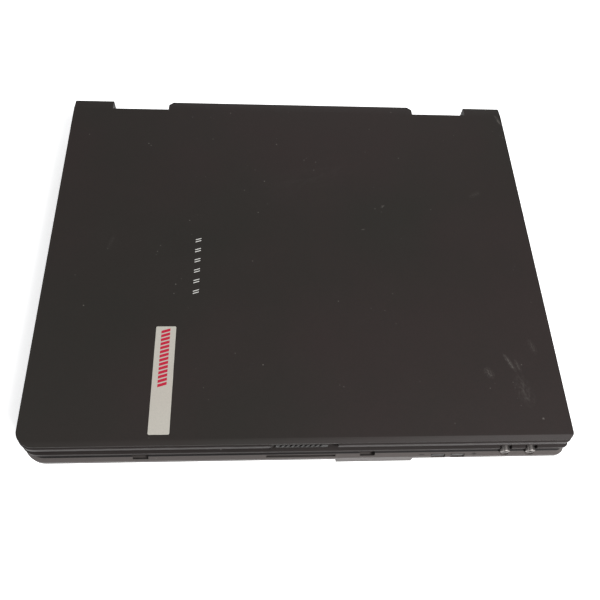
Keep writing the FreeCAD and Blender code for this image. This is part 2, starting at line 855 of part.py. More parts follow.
def key_cap(label, start, units, y0, pitch_y):
    """A tapered cap: a wedge with its smaller rectangle on top."""
    cap = doc.addObject("Part::Wedge", label)
    width = "(%s * key_pitch - key_gap)" % units
    depth = "(" + pitch_y + " - key_gap)"
    for name, words in (("Xmin", "0"), ("Xmax", width), ("Zmin", "0"), ("Zmax", depth),
                        ("Ymin", "0"), ("Ymax", "key_height"),
                        ("X2min", "key_taper"), ("X2max", width + " - key_taper"),
                        ("Z2min", "key_taper / 2"), ("Z2max", depth + " - key_taper")):
        cap.setExpression(name, linked(words))
    # the wedge grows along its own Y, so it is turned to stand on the dome sheet
    cap.Placement = FreeCAD.Placement(FreeCAD.Vector(), FreeCAD.Rotation(0, 0, 90))
    return put(cap, "-field_half + key_gap / 2 + %s * key_pitch" % start,
               y0 + " + key_gap / 2 + " + depth, "key_foot")


def make_keys():
    y0 = "field_rear - function_pitch"
    pitch_y = "function_pitch"
    for label, widths in KEY_ROWS.items():
        caps = []
        start = 0
        for number, units in enumerate(widths):
            if units == 0:
                space = key_cap("space_bar", start, SPACE_UNITS, y0, pitch_y)
                start += SPACE_UNITS
                continue
            caps.append(key_cap("%s_%d" % (label, number), start, units, y0, pitch_y))
            start += units
        keep(group(label, *caps))
        pitch_y = "key_pitch"
        y0 = y0 + " - key_pitch"
    keep(space)


# ---------------------------------------------------------------------------
# Touchpad, its two buttons, the power button and the volume buttons
# ---------------------------------------------------------------------------
def make_controls():
    pad_body = new_body("touchpad")
    raise_box(pad_body, "-pad_width / 2 - pad_flange", "pad_width / 2 + pad_flange",
              "pad_y - click_gap / 2", "pad_y + pad_depth + pad_flange",
              "deck_under - pad_under", "deck_under")
    raise_box(pad_body, "-pad_width / 2 + fit_gap", "pad_width / 2 - fit_gap", "pad_y + fit_gap",
              "pad_y + pad_depth - fit_gap", "deck_under", "deck - pad_sink")
    keep(pad_body)
    for label, hand in (("click_left", "-"), ("click_right", "")):
        middle = hand + "(click_gap / 2 + click_width / 2)"
        body = new_body(label)
        raise_box(body, middle + " - click_width / 2", middle + " + click_width / 2",
                  "click_y", "click_y + click_depth", "deck_under - click_under", "deck")
        keep(body)
    keep(rod("power_button", "Z", "power_button_x", "power_button_place", "deck_under - power_button_skirt",
             "power_button_radius", "deck_wall + power_button_skirt"))
    for label, x in (("volume_down", "volume_down_x"), ("volume_up", "volume_up_x")):
        body = new_body(label)
        pad(body, "Y", "front + volume_recess", "front_inside",
            rectangle(x + " - volume_width / 2", x + " + volume_width / 2",
                      "volume_z - volume_height / 2", "volume_z + volume_height / 2"))
        keep(body)


# ---------------------------------------------------------------------------
# Sockets
# ---------------------------------------------------------------------------
def make_sockets():
    for label, x in (("headphone_jack", "phones_x"), ("microphone_jack", "microphone_x")):
        barrel = rod(label + "_barrel", "Y", x, "front + jack_stand", "jack_z",
                     "jack_radius", "jack_length")
        bore = rod(label + "_bore", "Y", x, "front + jack_stand - jack_floor", "jack_z",
                   "jack_bore", "jack_length")
        keep(cut(label, barrel, bore))
    for label, (x, width, low, high) in SOCKETS.items():
        half = "(" + width + ") / 2"
        shell = box(label + "_shell", x + " - " + half, x + " + " + half,
                    "rear - port_depth", "rear - socket_sink", low, high)
        if label == "power_jack":
            bore = rod(label + "_bore", "Y", x, "rear - port_depth + power_back", low + " + " + half,
                       "power_bore", "port_depth")
            pin = rod(label + "_pin", "Y", x, "rear - port_depth", low + " + " + half,
                      "power_pin", "port_depth - port_back")
            keep(join(label, cut(label + "_sleeve", shell, bore), pin))
            continue
        rim = "port_rim"
        hollow = box(label + "_hollow", x + " - " + half + " + " + rim, x + " + " + half + " - " + rim,
                     "rear - port_depth + port_back", "rear", low + " + " + rim, high + " - " + rim)
        if label in ("parallel_port", "serial_port", "video_port"):
            middle = "(" + low + " + " + high + ") / 2"
            blade = box(label + "_blade", x + " - " + half + " + blade_margin",
                        x + " + " + half + " - blade_margin", "rear - port_depth",
                        "rear - socket_sink - blade_sink", middle + " - blade_half", middle + " + blade_half")
            keep(join(label, cut(label + "_frame", shell, hollow), blade))
        else:
            keep(cut(label, shell, hollow))


# ---------------------------------------------------------------------------
# Boards and what is on them
# ---------------------------------------------------------------------------
def make_boards():
    board = new_body("main_board")
    raise_box(board, "board_left", "board_right", "board_front", "rear - port_depth - board_gap",
              "board_level", "board_top")
    pocket(board, "Z", "board_level", "board_top",
           *[("circle", x, "tower_post_y", "post_radius + fit_gap")
             for x in ("tower_post_in", "tower_post_out")])
    pad(board, "Z", "inner_floor", "board_level",
        *[("circle", x, y, "board_post_radius")
          for x in ("board_left + board_post_in", "board_right - board_post_in")
          for y in ("board_front + board_post_in", "board_rear_post")])
    keep(board)
    keep(box("processor", "chip_x", "chip_x + chip_size", "chip_y", "chip_y + chip_size",
             "board_top", "board_top + chip_height"))
    plate = box("spreader_plate", "chip_x - spreader_margin", "chip_x + chip_size + spreader_margin",
                "chip_y - spreader_margin", "chip_y + chip_size + spreader_margin",
                "board_top + chip_height",
                "board_top + chip_height + spreader_thick")
    pipe = rod("spreader_pipe", "X", "chip_x", "chip_y + chip_size / 2",
               "board_top + chip_height + spreader_thick + pipe_radius - pipe_sink", "pipe_radius",
               "fan_x - fan_frame - chip_x - 1")
    keep(join("heat_spreader", plate, pipe))
    frame = box("fan_frame", "fan_x - fan_frame", "fan_x + fan_frame", "fan_y - fan_frame",
                "fan_y + fan_frame", "board_top", "board_top + fan_height")
    well = rod("fan_well", "Z", "fan_x", "fan_y", "board_top + fan_floor",
               "fan_radius + rotor_gap", "fan_height")
    outlet = box("fan_outlet", "fan_x", "fan_x + fan_frame + 1", "fan_y - fan_radius + outlet_in",
                 "fan_y + fan_radius - outlet_in", "board_top + fan_floor",
                 "board_top + fan_height - fan_floor")
    keep(join("fan_housing", cut("fan_shell", frame, well, outlet),
              rod("fan_axle", "Z", "fan_x", "fan_y", "board_top + fan_floor / 2", "fan_axle",
                  "fan_height - 2 * fan_floor")))
    hub = rod("rotor_hub", "Z", "fan_x", "fan_y", "rotor_foot", "fan_hub", "rotor_top - rotor_foot")
    blades = []
    for number in range(9):
        blade = box("rotor_blade_%d" % number, "0", "fan_radius", "0", "fan_blade",
                    "rotor_foot", "rotor_top")
        blade.Placement.Rotation = FreeCAD.Rotation(FreeCAD.Vector(0, 0, 1), number * 40)
        blades.append(put(blade, "fan_x", "fan_y", "rotor_foot"))
    bore = rod("rotor_bore", "Z", "fan_x", "fan_y", "board_top + fan_floor",
               "fan_axle + pin_play", "fan_height")
    keep(cut("fan_rotor", join("rotor_solid", hub, *blades), bore))
    keep(group("speakers", *[
        box("speaker_" + word, hand + "speaker_x - speaker_width / 2",
            hand + "speaker_x + speaker_width / 2", "front + speaker_y",
            "front + speaker_y + speaker_depth", "deck_under - speaker_height", "deck_under")
        for word, hand in (("left", "-"), ("right", ""))]))
    cage = box("cage_block", "-side + ledge + fit_gap", "-side + card_depth + cage_rim",
               "card_y - divider", "card_y + card_width + divider",
               "inner_floor", "bay_level + card_height + slide_gap + cage_roof")
    slot = box("cage_slot", "-side", "-side + card_depth", "card_y", "card_y + card_width",
               "bay_level", "bay_level + card_height")
    keep(cut("card_cage", cage, slot))
    keep(rod("backup_battery", "Z", "cell_x", "cell_y", "board_top", "cell_radius", "cell_height"))
    module_y = "door_y + (door_depth - module_depth) / 2"
    keep(box("memory_module", "door_x - module_width / 2", "door_x + module_width / 2", module_y,
             module_y + " + module_depth", "inner_floor", "inner_floor + module_height"))
    door = new_body("memory_door")
    raise_box(door, "door_x - door_width / 2", "door_x + door_width / 2", "door_y",
              "door_y + door_depth", "case_floor", "inner_floor")
    keep(door)
    dock = box("dock_block", "-dock_width / 2", "dock_width / 2", "dock_y", "dock_y + dock_depth",
               "case_floor + dock_sink", "board_level")
    dock_slot = box("dock_slot", "-dock_width / 2 + dock_rim", "dock_width / 2 - dock_rim",
                    "dock_y + dock_lip", "dock_y + dock_depth - dock_lip", "case_floor",
                    "inner_floor + dock_bite")
    keep(cut("docking_connector", dock, dock_slot))


# ---------------------------------------------------------------------------
# Modules that slide out of the sides
# ---------------------------------------------------------------------------
def make_modules():
    battery = new_body("battery_pack")
    raise_box(battery, "-keel_half", "-side + battery_width", "battery_y",
              "battery_y + battery_depth", "bay_level", "bay_level + battery_height")
    sink_box(battery, "release_x - release_travel - 1", "-side + battery_width + 1",
             "release_y - 1", "release_y + release_depth + 1",
             "bay_level - 1", "bay_level + release_pocket")
    keep(battery)
    disk = new_body("hard_disk")
    raise_box(disk, "-keel_half", "-side + disk_width", "disk_y", "disk_y + disk_depth",
              "bay_level", "bay_level + disk_height")
    sink_box(disk, "-keel_half + label_margin", "-side + disk_width - label_margin",
             "disk_y + label_margin", "disk_y + disk_depth - label_margin",
             "bay_level + disk_height - label_sink", "bay_level + disk_height")
    keep(disk)
    drive = new_body("optical_drive")
    raise_box(drive, "drive_x", "keel_half", "drive_y", "drive_y + drive_depth",
              "bay_level", "bay_level + drive_height")
    pocket(drive, "X", "drive_x + tray_margin", "keel_half",
           rectangle("drive_y + tray_margin - tray_play",
                     "drive_y + drive_depth - tray_margin + tray_play",
                     "tray_foot - tray_play", "tray_foot + tray_height + tray_play"))
    keep(drive)
    tray = new_body("disc_tray")
    raise_box(tray, "drive_x + tray_margin + 1", "keel_half", "drive_y + tray_margin",
              "drive_y + drive_depth - tray_margin", "tray_foot", "tray_foot + tray_height")
    pocket(tray, "Z", "tray_foot + tray_height - disc_sink", "tray_foot + tray_height",
           ("circle", "(drive_x + keel_half) / 2", "drive_y + drive_depth / 2", "disc_radius"))
    pad(tray, "Z", "tray_foot + tray_height - disc_sink", "tray_foot + tray_height - spindle_sink",
        ("circle", "(drive_x + keel_half) / 2", "drive_y + drive_depth / 2", "spindle_radius"))
    pocket(tray, "X", "keel_half - eject_depth", "keel_half",
           rectangle("eject_y - button_gap", "eject_y + eject_width + button_gap",
                     "tray_foot + eject_foot", "tray_foot + tray_height - eject_roof"))
    keep(tray)
    button = new_body("tray_button")
    pad(button, "X", "keel_half - eject_depth + eject_travel + eject_stop", "keel_half",
        rectangle("eject_y", "eject_y + eject_width", "tray_foot + eject_foot + button_gap",
                  "tray_foot + tray_height - eject_roof - button_gap"))
    keep(button)
    release = new_body("battery_latch")
    raise_box(release, "release_x", "release_x + release_width", "release_y",
              "release_y + release_depth", "case_floor", "inner_floor")
    keep(release)
    ejector = new_body("card_eject")
    raise_box(ejector, "-keel_half", "-side + eject_bar_length", "eject_bar_y",
              "eject_bar_y + eject_bar_depth", "eject_bar_foot",
              "eject_bar_foot + eject_bar_height")
    keep(ejector)


# ---------------------------------------------------------------------------
# Hinges: towers on the base carry steel pins that are held in the lid
# ---------------------------------------------------------------------------
def make_hinges():
    for label, low, high, pin_low in (
            ("left", "-notch_outer", "-hump_half", "-notch_outer - pin_reach"),
            ("right", "hump_half", "notch_outer", "hump_half - pin_reach")):
        tower = new_body("hinge_tower_" + label)
        x0 = low + " + tower_gap"
        x1 = high + " - tower_gap"
        raise_box(tower, x0, x1, "axis_y - post_setback - tower_toe", "rear - case_wall - fit_gap",
                  "tower_foot", "tower_foot + tower_plate")
        raise_box(tower, x0, x1, "axis_y - tower_radius", "axis_y + tower_radius - tower_heel",
                  "tower_foot", "axis_z")
        pad(tower, "X", x0, x1, ("circle", "axis_y", "axis_z", "tower_radius"))
        pocket(tower, "X", x0, x1, ("circle", "axis_y", "axis_z", "pin_radius + pin_play"))
        keep(tower)
        keep(rod("hinge_pin_" + label, "X", pin_low, "axis_y", "axis_z", "pin_radius",
                 "notch_outer - hump_half + 2 * pin_reach"))
        sign = "-" if label == "left" else ""
        arm = box("hinge_arm_" + label, sign + "arm_x - arm_width / 2", sign + "arm_x + arm_width / 2",
                  "arm_end - arm_length", "arm_end", "bezel_face",
                  "bezel_face + arm_thick")
        keep(arm)


# ---------------------------------------------------------------------------
# Lid: cover with barrel lobes, bezel, panel and small parts
# ---------------------------------------------------------------------------
def make_display_cover():
    body = new_body("display_cover")
    # a slab whose front top edge slopes down to the latch
    pad(body, "X", "-lid_side", "lid_side",
        [("lid_front", "cover_foot"), ("crease", "cover_foot"), ("crease", "top"),
         ("lid_front + lid_bevel_run", "top"), ("lid_front", "top - lid_bevel_drop")])
    fillet(body, "lid_corner_left", upright_near("-lid_side", "lid_front"))
    fillet(body, "lid_corner_right", upright_near("lid_side", "lid_front"))
    pocket(body, "Z", "cover_foot", "top - lid_wall",
           cavity("lid_side - lid_wall", "lid_front + lid_bevel_run", "crease - lid_wall",
                  "lid_corner_left"))
    # barrel round the hinge axis and the sloping shelf above it
    pad(body, "X", "-lid_side", "lid_side", ("circle", "axis_y", "axis_z", "barrel_radius"))
    pad(body, "X", "-lid_side", "lid_side",
        [("crease - 1", "axis_z"), ("rear", "axis_z"), ("rear", "top - lobe_drop"),
         ("crease", "top"), ("crease - 1", "top")])
    sink_box(body, "-side", "side", "rear", "rear + 2 * barrel_radius", "0", "top + 1")
    pocket(body, "X", "-side", "side",
           [("crease - 2 * barrel_radius", "top"), ("crease", "top"), ("rear", "top - lobe_drop"),
            ("rear + 1", "top - lobe_drop"), ("rear + 1", "top + barrel_radius"),
            ("crease - 2 * barrel_radius", "top + barrel_radius")])
    for low, high in (("-lid_side + lid_wall", "-notch_outer - pin_reach - lid_wall"),
                      ("-hump_half + pin_reach + lid_wall", "hump_half - pin_reach - lid_wall"),
                      ("notch_outer + pin_reach + lid_wall", "lid_side - lid_wall")):
        sink_box(body, low, high, "barrel_front - 1", "rear - lid_wall", "bezel_face",
                 "top - lobe_drop - lid_wall")
    for low, high, pin_low in (("-notch_outer", "-hump_half", "-notch_outer - pin_reach"),
                               ("hump_half", "notch_outer", "hump_half - pin_reach")):
        sink_box(body, low, high, "crease", "rear + 1", "0", "top + 1")
        sink_box(body, low, high, "barrel_front - 1", "rear + 1", "0", "lid_floor")
        pocket(body, "X", low, high, ("circle", "axis_y", "axis_z", "tower_radius + tower_relief"))
        pocket(body, "X", pin_low, pin_low + " + notch_outer - hump_half + 2 * pin_reach",
               ("circle", "axis_y", "axis_z", "pin_radius"))
    for hand in ("-", ""):
        chamfer(body, "hump_chamfer", upright_near(hand + "hump_half", "rear"))
    # shallow recess for the badge
    sink_box(body, "badge_x - badge_width / 2 - badge_gap", "badge_x + badge_width / 2 + badge_gap",
             "badge_y - badge_gap", "badge_y + badge_length + badge_gap",
             "top - badge_sink", "top + 1")
    return keep(body)


def make_display_bezel():
    body = new_body("display_bezel")
    raise_box(body, "-lid_side + fascia_undercut", "lid_side - fascia_undercut",
              "lid_front + fascia_undercut", "barrel_front - fit_gap", "lid_floor", "fascia_foot_z")
    raise_box(body, "-lid_side - fascia_side", "lid_side + fascia_side", "latch_y",
              "barrel_front - fit_gap", "fascia_foot_z", "fascia_top")
    for word, hand in (("left", "-"), ("right", "")):
        fillet(body, "lid_corner_" + word, upright_near(hand + "(lid_side + fascia_side)", "latch_y"))
        fillet(body, "lid_corner_" + word, upright_near(hand + "(lid_side - fascia_undercut)",
                                                        "lid_front + fascia_undercut"))
    pocket(body, "Z", "bezel_face", "fascia_top",
           cavity("lid_side - fascia_undercut - lid_wall", "lid_front + fascia_undercut + lid_wall",
                  "barrel_front - fit_gap - lid_wall", "lid_corner_left"))
    sink_box(body, "-screen_width / 2", "screen_width / 2", "panel_y + screen_margin",
             "panel_y + screen_margin + screen_depth", "lid_floor - 1", "bezel_face + 1")
    # window for the latch and slots for its hooks
    pocket(body, "Y", "latch_y - 1", "lid_front + fascia_undercut + lid_wall + 1",
           rectangle("-latch_left", "latch_right", "bezel_face", "fascia_top + 1"))
    for hand in ("-", ""):
        sink_box(body, hand + "hook_offset - hook_width / 2 - fit_gap",
                 hand + "hook_offset + hook_width / 2 + latch_travel + fit_gap",
                 "hook_y - fit_gap", "hook_y + hook_length + fit_gap", "lid_floor - 1", "bezel_face + 1")
    return keep(body)


def make_lid_parts():
    keep(box("lcd_panel", "-panel_width / 2", "panel_width / 2", "panel_y", "panel_y + panel_depth",
             "bezel_face", "bezel_face + panel_thick"))
    keep(box("inverter_board", "-inverter_width / 2", "inverter_width / 2",
             "panel_y + panel_depth + inverter_gap",
             "barrel_front - fit_gap - lid_wall - inverter_gap",
             "bezel_face", "bezel_face + inverter_thick"))
    plate = new_body("badge_plate")
    raise_box(plate, "badge_x - badge_width / 2", "badge_x + badge_width / 2", "badge_y",
              "badge_y + badge_length", "top - badge_sink", "top - badge_sink + badge_thick")
    fillet(plate, "badge_corner", lambda edge: edge.BoundBox.XLength < 0.01
           and edge.BoundBox.YLength < 0.01)
    keep(plate)
    keep(group("name_marks", *[
        box("name_mark_%d" % number, "mark_x - mark_width / 2", "mark_x + mark_width / 2",
            "mark_y + %d * mark_pitch" % number, "mark_y + %d * mark_pitch + mark_length" % number,
            "top", "top + mark_thick") for number in range(6)]))
    keep(group("lid_bumpers", *[
        rod("lid_bumper_%d" % number, "Z", x, y, "lid_floor - bumper_stand", "bumper_radius",
            "bumper_stand") for number, (x, y) in enumerate((
                ("-bumper_x", "bumper_front"), ("bumper_x", "bumper_front"),
                ("-bumper_x", "bumper_rear"), ("bumper_x", "bumper_rear")))]))


def make_latch():
    body = new_body("latch_slider")
    raise_box(body, "-latch_half", "latch_half", "latch_y + latch_recess", "hook_y + hook_length",
              "bezel_face + latch_play", "fascia_top - latch_play")
    first = pocket(body, "Y", "latch_y + latch_recess", "latch_y + latch_recess + rib_depth",
                   [("-latch_half + rib_start", "bezel_face + latch_play + rib_margin"),
                    ("-latch_half + rib_start + rib_groove", "bezel_face + latch_play + rib_margin"),
                    ("-latch_half + rib_start + rib_groove + rib_lean", "fascia_top + 1"),
                    ("-latch_half + rib_start + rib_lean", "fascia_top + 1")])
    row = body.newObject("PartDesign::LinearPattern", "rib_row")
    row.Originals = [first]
    row.Direction = (first.Profile[0], ["H_Axis"])
    row.setExpression("Length", linked("(rib_count - 1) * rib_pitch"))
    row.setExpression("Occurrences", linked("rib_count"))
    body.Tip = row
    for hand in ("-", ""):
        raise_box(body, hand + "hook_offset - hook_width / 2", hand + "hook_offset + hook_width / 2",
                  "hook_y", "hook_y + hook_length", "deck - hook_reach", "bezel_face + latch_play + 1")
    keep(body)


def make_underside():
    keep(group("rubber_feet", *[
        rod("rubber_foot_%d" % number, "Z", x, y, "0", "foot_radius", "foot_height")
        for number, (x, y) in enumerate((
            ("-foot_x", "foot_front"), ("foot_x", "foot_front"),
            ("-foot_x", "foot_rear"), ("foot_x", "foot_rear")))]))
    screws = []
    for number, (x, y) in enumerate(SCREWS):
        head = rod("screw_head_%d" % number, "Z", x, y, "case_floor + head_sink", "screw_head",
                   "screw_sink - head_sink")
        shank = rod("screw_shank_%d" % number, "Z", x, y, "case_floor + screw_sink - head_overlap",
                    "screw_shank", "screw_length + case_wall - screw_sink - shank_short")
        screws.append(join("case_screw_%d" % number, head, shank))
    keep(group("case_screws", *screws))


# ---------------------------------------------------------------------------
# Build every sub-part, check it, and write it
# ---------------------------------------------------------------------------
make_bottom_case()
make_top_cover()
make_keyboard_tray()
make_dome_sheet()
make_keys()
make_controls()
make_sockets()
make_boards()
make_modules()
make_hinges()
make_display_cover()
make_display_bezel()
make_lid_parts()
make_latch()
make_underside()
doc.recompute()

for item in doc.Objects:
    if "Invalid" in item.State or "Error" in item.State:
        raise ValueError("%s failed: %s" % (item.Label, item.State))
for item in NODES:
    if item.Shape.isNull() or not item.Shape.isValid():
        raise ValueError("%s has no valid shape" % item.Label)
for item in NODES:
    item.Shape.exportStep(os.path.join("parts", item.Label + ".step"))
    print("%-18s %d solids %8.0f mm3" % (item.Label, len(item.Shape.Solids), item.Shape.Volume))
print("nodes", len(NODES))
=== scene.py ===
# %% [markdown]
# # A closed business laptop
# The machine was designed in CAD, so its sizes, its places and the way it moves are settled. This
# script loads that model as a fixed frame and gives it its looks: soft edges, dished key caps, ringed
# jacks, rows of contacts, and plastic that has been carried about for years.

# %% Load the frame
import bpy
import bmesh
import json
import math
from collections import namedtuple
from mathutils import Matrix, Vector


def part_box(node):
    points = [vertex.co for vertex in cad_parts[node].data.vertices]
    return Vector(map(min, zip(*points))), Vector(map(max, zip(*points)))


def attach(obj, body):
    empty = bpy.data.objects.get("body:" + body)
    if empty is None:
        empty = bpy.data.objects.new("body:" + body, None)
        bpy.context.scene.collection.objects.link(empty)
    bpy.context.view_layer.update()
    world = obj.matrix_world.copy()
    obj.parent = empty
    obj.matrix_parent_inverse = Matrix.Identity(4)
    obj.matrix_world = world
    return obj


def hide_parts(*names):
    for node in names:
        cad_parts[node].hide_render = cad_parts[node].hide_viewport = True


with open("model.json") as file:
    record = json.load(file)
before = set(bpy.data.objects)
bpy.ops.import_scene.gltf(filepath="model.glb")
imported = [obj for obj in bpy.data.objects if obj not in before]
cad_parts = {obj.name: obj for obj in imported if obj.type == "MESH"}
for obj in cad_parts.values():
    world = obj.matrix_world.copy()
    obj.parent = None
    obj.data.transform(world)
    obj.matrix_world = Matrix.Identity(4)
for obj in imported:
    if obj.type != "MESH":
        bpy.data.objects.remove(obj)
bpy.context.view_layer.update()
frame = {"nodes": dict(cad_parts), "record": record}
MM = 0.001
nodes = frame["nodes"]

# %% [markdown]
# ## Camera
# The machine is looked at from above its front edge, a little to the left of the middle. A lens of
# about 38 mm at this distance gives the lid its strong taper towards the rear.

# %% Camera
CAMERA_PLACE = (-24.5, -213.8, 385.0)
CAMERA_TURN = (27.35, -3.38, -1.70)
camera_data = bpy.data.cameras.new("camera")
camera_data.lens = 37.58
camera_data.sensor_width = 36
camera = bpy.data.objects.new("camera", camera_data)
camera.location = Vector(CAMERA_PLACE) * MM
camera.rotation_euler = [math.radians(angle) for angle in CAMERA_TURN]
bpy.context.scene.collection.objects.link(camera)
bpy.context.scene.camera = camera
print("camera height", round(camera.location.z / MM), "mm")

# %% [markdown]
# ## Floor
# The machine lies on white paper. The paper glows a little by itself, which keeps it white right up to
# the contact shadow under the case. The plain Standard tone curve leaves the paper white and the
# plastic dark.

# %% Floor
bpy.context.scene.view_settings.view_transform = "Standard"
FLOOR_HALF = 20
bm = bmesh.new()
bmesh.ops.create_grid(bm, x_segments=1, y_segments=1, size=FLOOR_HALF)
floor_mesh = bpy.data.meshes.new("floor")
bm.to_mesh(floor_mesh)
bm.free()
floor = bpy.data.objects.new("floor", floor_mesh)
bpy.context.scene.collection.objects.link(floor)
floor_paint = bpy.data.materials.new("floor_paint")
floor_paint.use_nodes = True
paper = floor_paint.node_tree.nodes["Principled BSDF"]
paper.inputs["Base Color"].default_value = (0.95, 0.95, 0.95, 1)
paper.inputs["Roughness"].default_value = 0.9
paper.inputs["Specular IOR Level"].default_value = 0.1
paper.inputs["Emission Color"].default_value = (1, 1, 1, 1)
paper.inputs["Emission Strength"].default_value = 0.45
floor_mesh.materials.append(floor_paint)
print("white paper,", 2 * FLOOR_HALF, "m wide")

# %% [markdown]
# ## Lamps
# The lid is nearly black, so what shapes it is the broad reflection of large soft lamps. The strongest
# stands at the right and front, which makes that side of the lid and the front edges lighter. Two weak
# ones keep the left and the rear readable.


# %% Lamps
def add_lamp(name, place, width, power):
    """A square area lamp that faces the middle of the machine."""
    data = bpy.data.lights.new(name, "AREA")
    data.size = width
    data.energy = power
    lamp = bpy.data.objects.new(name, data)
    lamp.location = place
    lamp.rotation_euler = (-Vector(place)).to_track_quat("-Z", "Y").to_euler()
    bpy.context.scene.collection.objects.link(lamp)


# name, place in metres, width in metres, power in watts
add_lamp("key_lamp", (0.9, -0.95, 1.45), 0.6, 45)
add_lamp("fill_lamp", (-1.3, -0.2, 1.3), 1.0, 6)
add_lamp("rear_lamp", (0.3, 1.9, 0.9), 1.0, 4)
world = bpy.data.worlds.new("studio")
world.use_nodes = True
world.node_tree.nodes["Background"].inputs["Color"].default_value = (0.97, 0.98, 1.0, 1)
world.node_tree.nodes["Background"].inputs["Strength"].default_value = 0.40
bpy.context.scene.world = world
print(len(bpy.data.lights), "lamps and a pale studio")

# %% [markdown]
# ## Shader groups
# The surfaces share four effects: a fine moulded grain, edges rubbed lighter by hands and bags, dust,
# and scuffs where something scraped along. They could be painted as images, but an image has one
# fixed sharpness and needs an unwrapped surface. So each is a node group, built once, that puts out
# masks and heights, and the materials set how strong they are.

# %% Group helpers
SOCKET_KINDS = {"value": "NodeSocketFloat", "vector": "NodeSocketVector"}


def new_group(name, inputs, outputs):
    """A node group with named sockets; inputs are (name, kind, default)."""
    group = bpy.data.node_groups.new(name, "ShaderNodeTree")
    for label, kind, default in inputs:
        socket = group.interface.new_socket(label, in_out="INPUT", socket_type=SOCKET_KINDS[kind])
        if default is not None:
            socket.default_value = default
    for label in outputs:
        group.interface.new_socket(label, in_out="OUTPUT", socket_type="NodeSocketFloat")
    return group, group.nodes.new("NodeGroupInput"), group.nodes.new("NodeGroupOutput")


def add_node(tree, kind, **settings):
    """A node in a tree, with its settings given by name."""
    node = tree.nodes.new(kind)
    for label, value in settings.items():
        setattr(node, label, value)
    return node


def noise(tree, vector, scale, detail=2.0, roughness=0.5):
    """A noise with so many waves per metre."""
    node = add_node(tree, "ShaderNodeTexNoise")
    node.inputs["Scale"].default_value = scale
    node.inputs["Detail"].default_value = detail
    node.inputs["Roughness"].default_value = roughness
    tree.links.new(vector, node.inputs["Vector"])
    return node.outputs["Fac"]


def remap(tree, value, low, high, to_low=0.0, to_high=1.0):
    """Stretch a value from one range to another, clamped."""
    node = add_node(tree, "ShaderNodeMapRange")
    for label, number in (("From Min", low), ("From Max", high), ("To Min", to_low), ("To Max", to_high)):
        node.inputs[label].default_value = number
    tree.links.new(value, node.inputs["Value"])
    return node.outputs["Result"]


def maths(tree, operation, first, second):
    """A Math node on two numbers or sockets."""
    node = add_node(tree, "ShaderNodeMath", operation=operation)
    for socket, value in zip(node.inputs, (first, second)):
        if isinstance(value, (int, float)):
            socket.default_value = value
        else:
            tree.links.new(value, socket)
    return node.outputs[0]


print("group sockets may be", " or ".join(SOCKET_KINDS))

# %% [markdown]
# ## Grain
# The mould that shaped the plastic was etched, which leaves fine pits all over. Two noises of pit size
# are added up for the height, so that the pits aren't all alike. The same height gives a mask by which
# the colour is painted darker in the pits, as painted shade. A very broad noise with a few streaks
# makes a patch mask, along which the tone of old plastic drifts.

# %% Grain
FINE_PITS, COARSE_PITS, BROAD_PATCHES, STREAKS = 2400, 900, 9, 48


def build_grain():
    """Fine pits of a moulded surface, a mask for painted shade in the pits, and broad patches where the tone
    drifts.
    """
    group, source, sink = new_group(
        "moulded_grain", [("Place", "vector", None), ("Size", "value", 1.0)], ["Height", "PitShade", "Patch"])
    scaled = add_node(group, "ShaderNodeVectorMath", operation="SCALE")
    group.links.new(source.outputs["Place"], scaled.inputs[0])
    group.links.new(source.outputs["Size"], scaled.inputs["Scale"])
    place = scaled.outputs["Vector"]
    fine = maths(group, "MULTIPLY", noise(group, place, FINE_PITS, 3.0, 0.6), 0.65)
    coarse = maths(group, "MULTIPLY", noise(group, place, COARSE_PITS, 2.0, 0.5), 0.35)
    height = maths(group, "ADD", fine, coarse)
    group.links.new(height, sink.inputs["Height"])
    # Painted shade mask: low where the pits are deep, and the materials darken the colour there.
    group.links.new(remap(group, height, 0.35, 0.65), sink.inputs["PitShade"])
    broad = remap(group, noise(group, place, BROAD_PATCHES, 2.0, 0.5), 0.35, 0.65)
    streaked = remap(group, noise(group, place, STREAKS, 5.0, 0.7), 0.3, 0.7)
    patch = maths(group, "ADD", maths(group, "MULTIPLY", broad, 0.82),
                  maths(group, "MULTIPLY", streaked, 0.18))
    group.links.new(patch, sink.inputs["Patch"])
    return group


grain_group = build_grain()
print(grain_group.name, "has", len(grain_group.nodes), "nodes")

# %% [markdown]
# ## Rubbed edges
# Hands and bags polish the edges first. The softened copies further down carry an attribute called
# wear, which is 1 on their rounded edges and 0 elsewhere. A noise breaks it up, because a clean pale
# line along every edge would look drawn.

# %% Rubbed edges
WEAR_BREAKS = 90


def build_wear():
    """Where the wear attribute marks an edge, broken up so that only some of it shows."""
    group, source, sink = new_group(
        "rubbed_edges", [("Place", "vector", None), ("Amount", "value", 0.5)], ["Mask"])
    marked = add_node(group, "ShaderNodeAttribute", attribute_name="wear")
    rough = remap(group, noise(group, source.outputs["Place"], WEAR_BREAKS, 4.0, 0.65), 0.38, 0.62)
    broken = maths(group, "MULTIPLY", marked.outputs["Fac"], rough)
    group.links.new(maths(group, "MULTIPLY", broken, source.outputs["Amount"]), sink.inputs["Mask"])
    return group


wear_group = build_wear()
print(wear_group.name, "has", len(wear_group.nodes), "nodes")

# %% [markdown]
# ## Dust
# A dark moulding shows every speck. The specks are the cores of small Voronoi cells, kept only where a
# second noise is high, so that they gather in places. A cloudy film lies between them.

# %% Dust
SPECK_CELLS, SPECK_AREAS, FILM_CLOUDS = 240, 60, 30


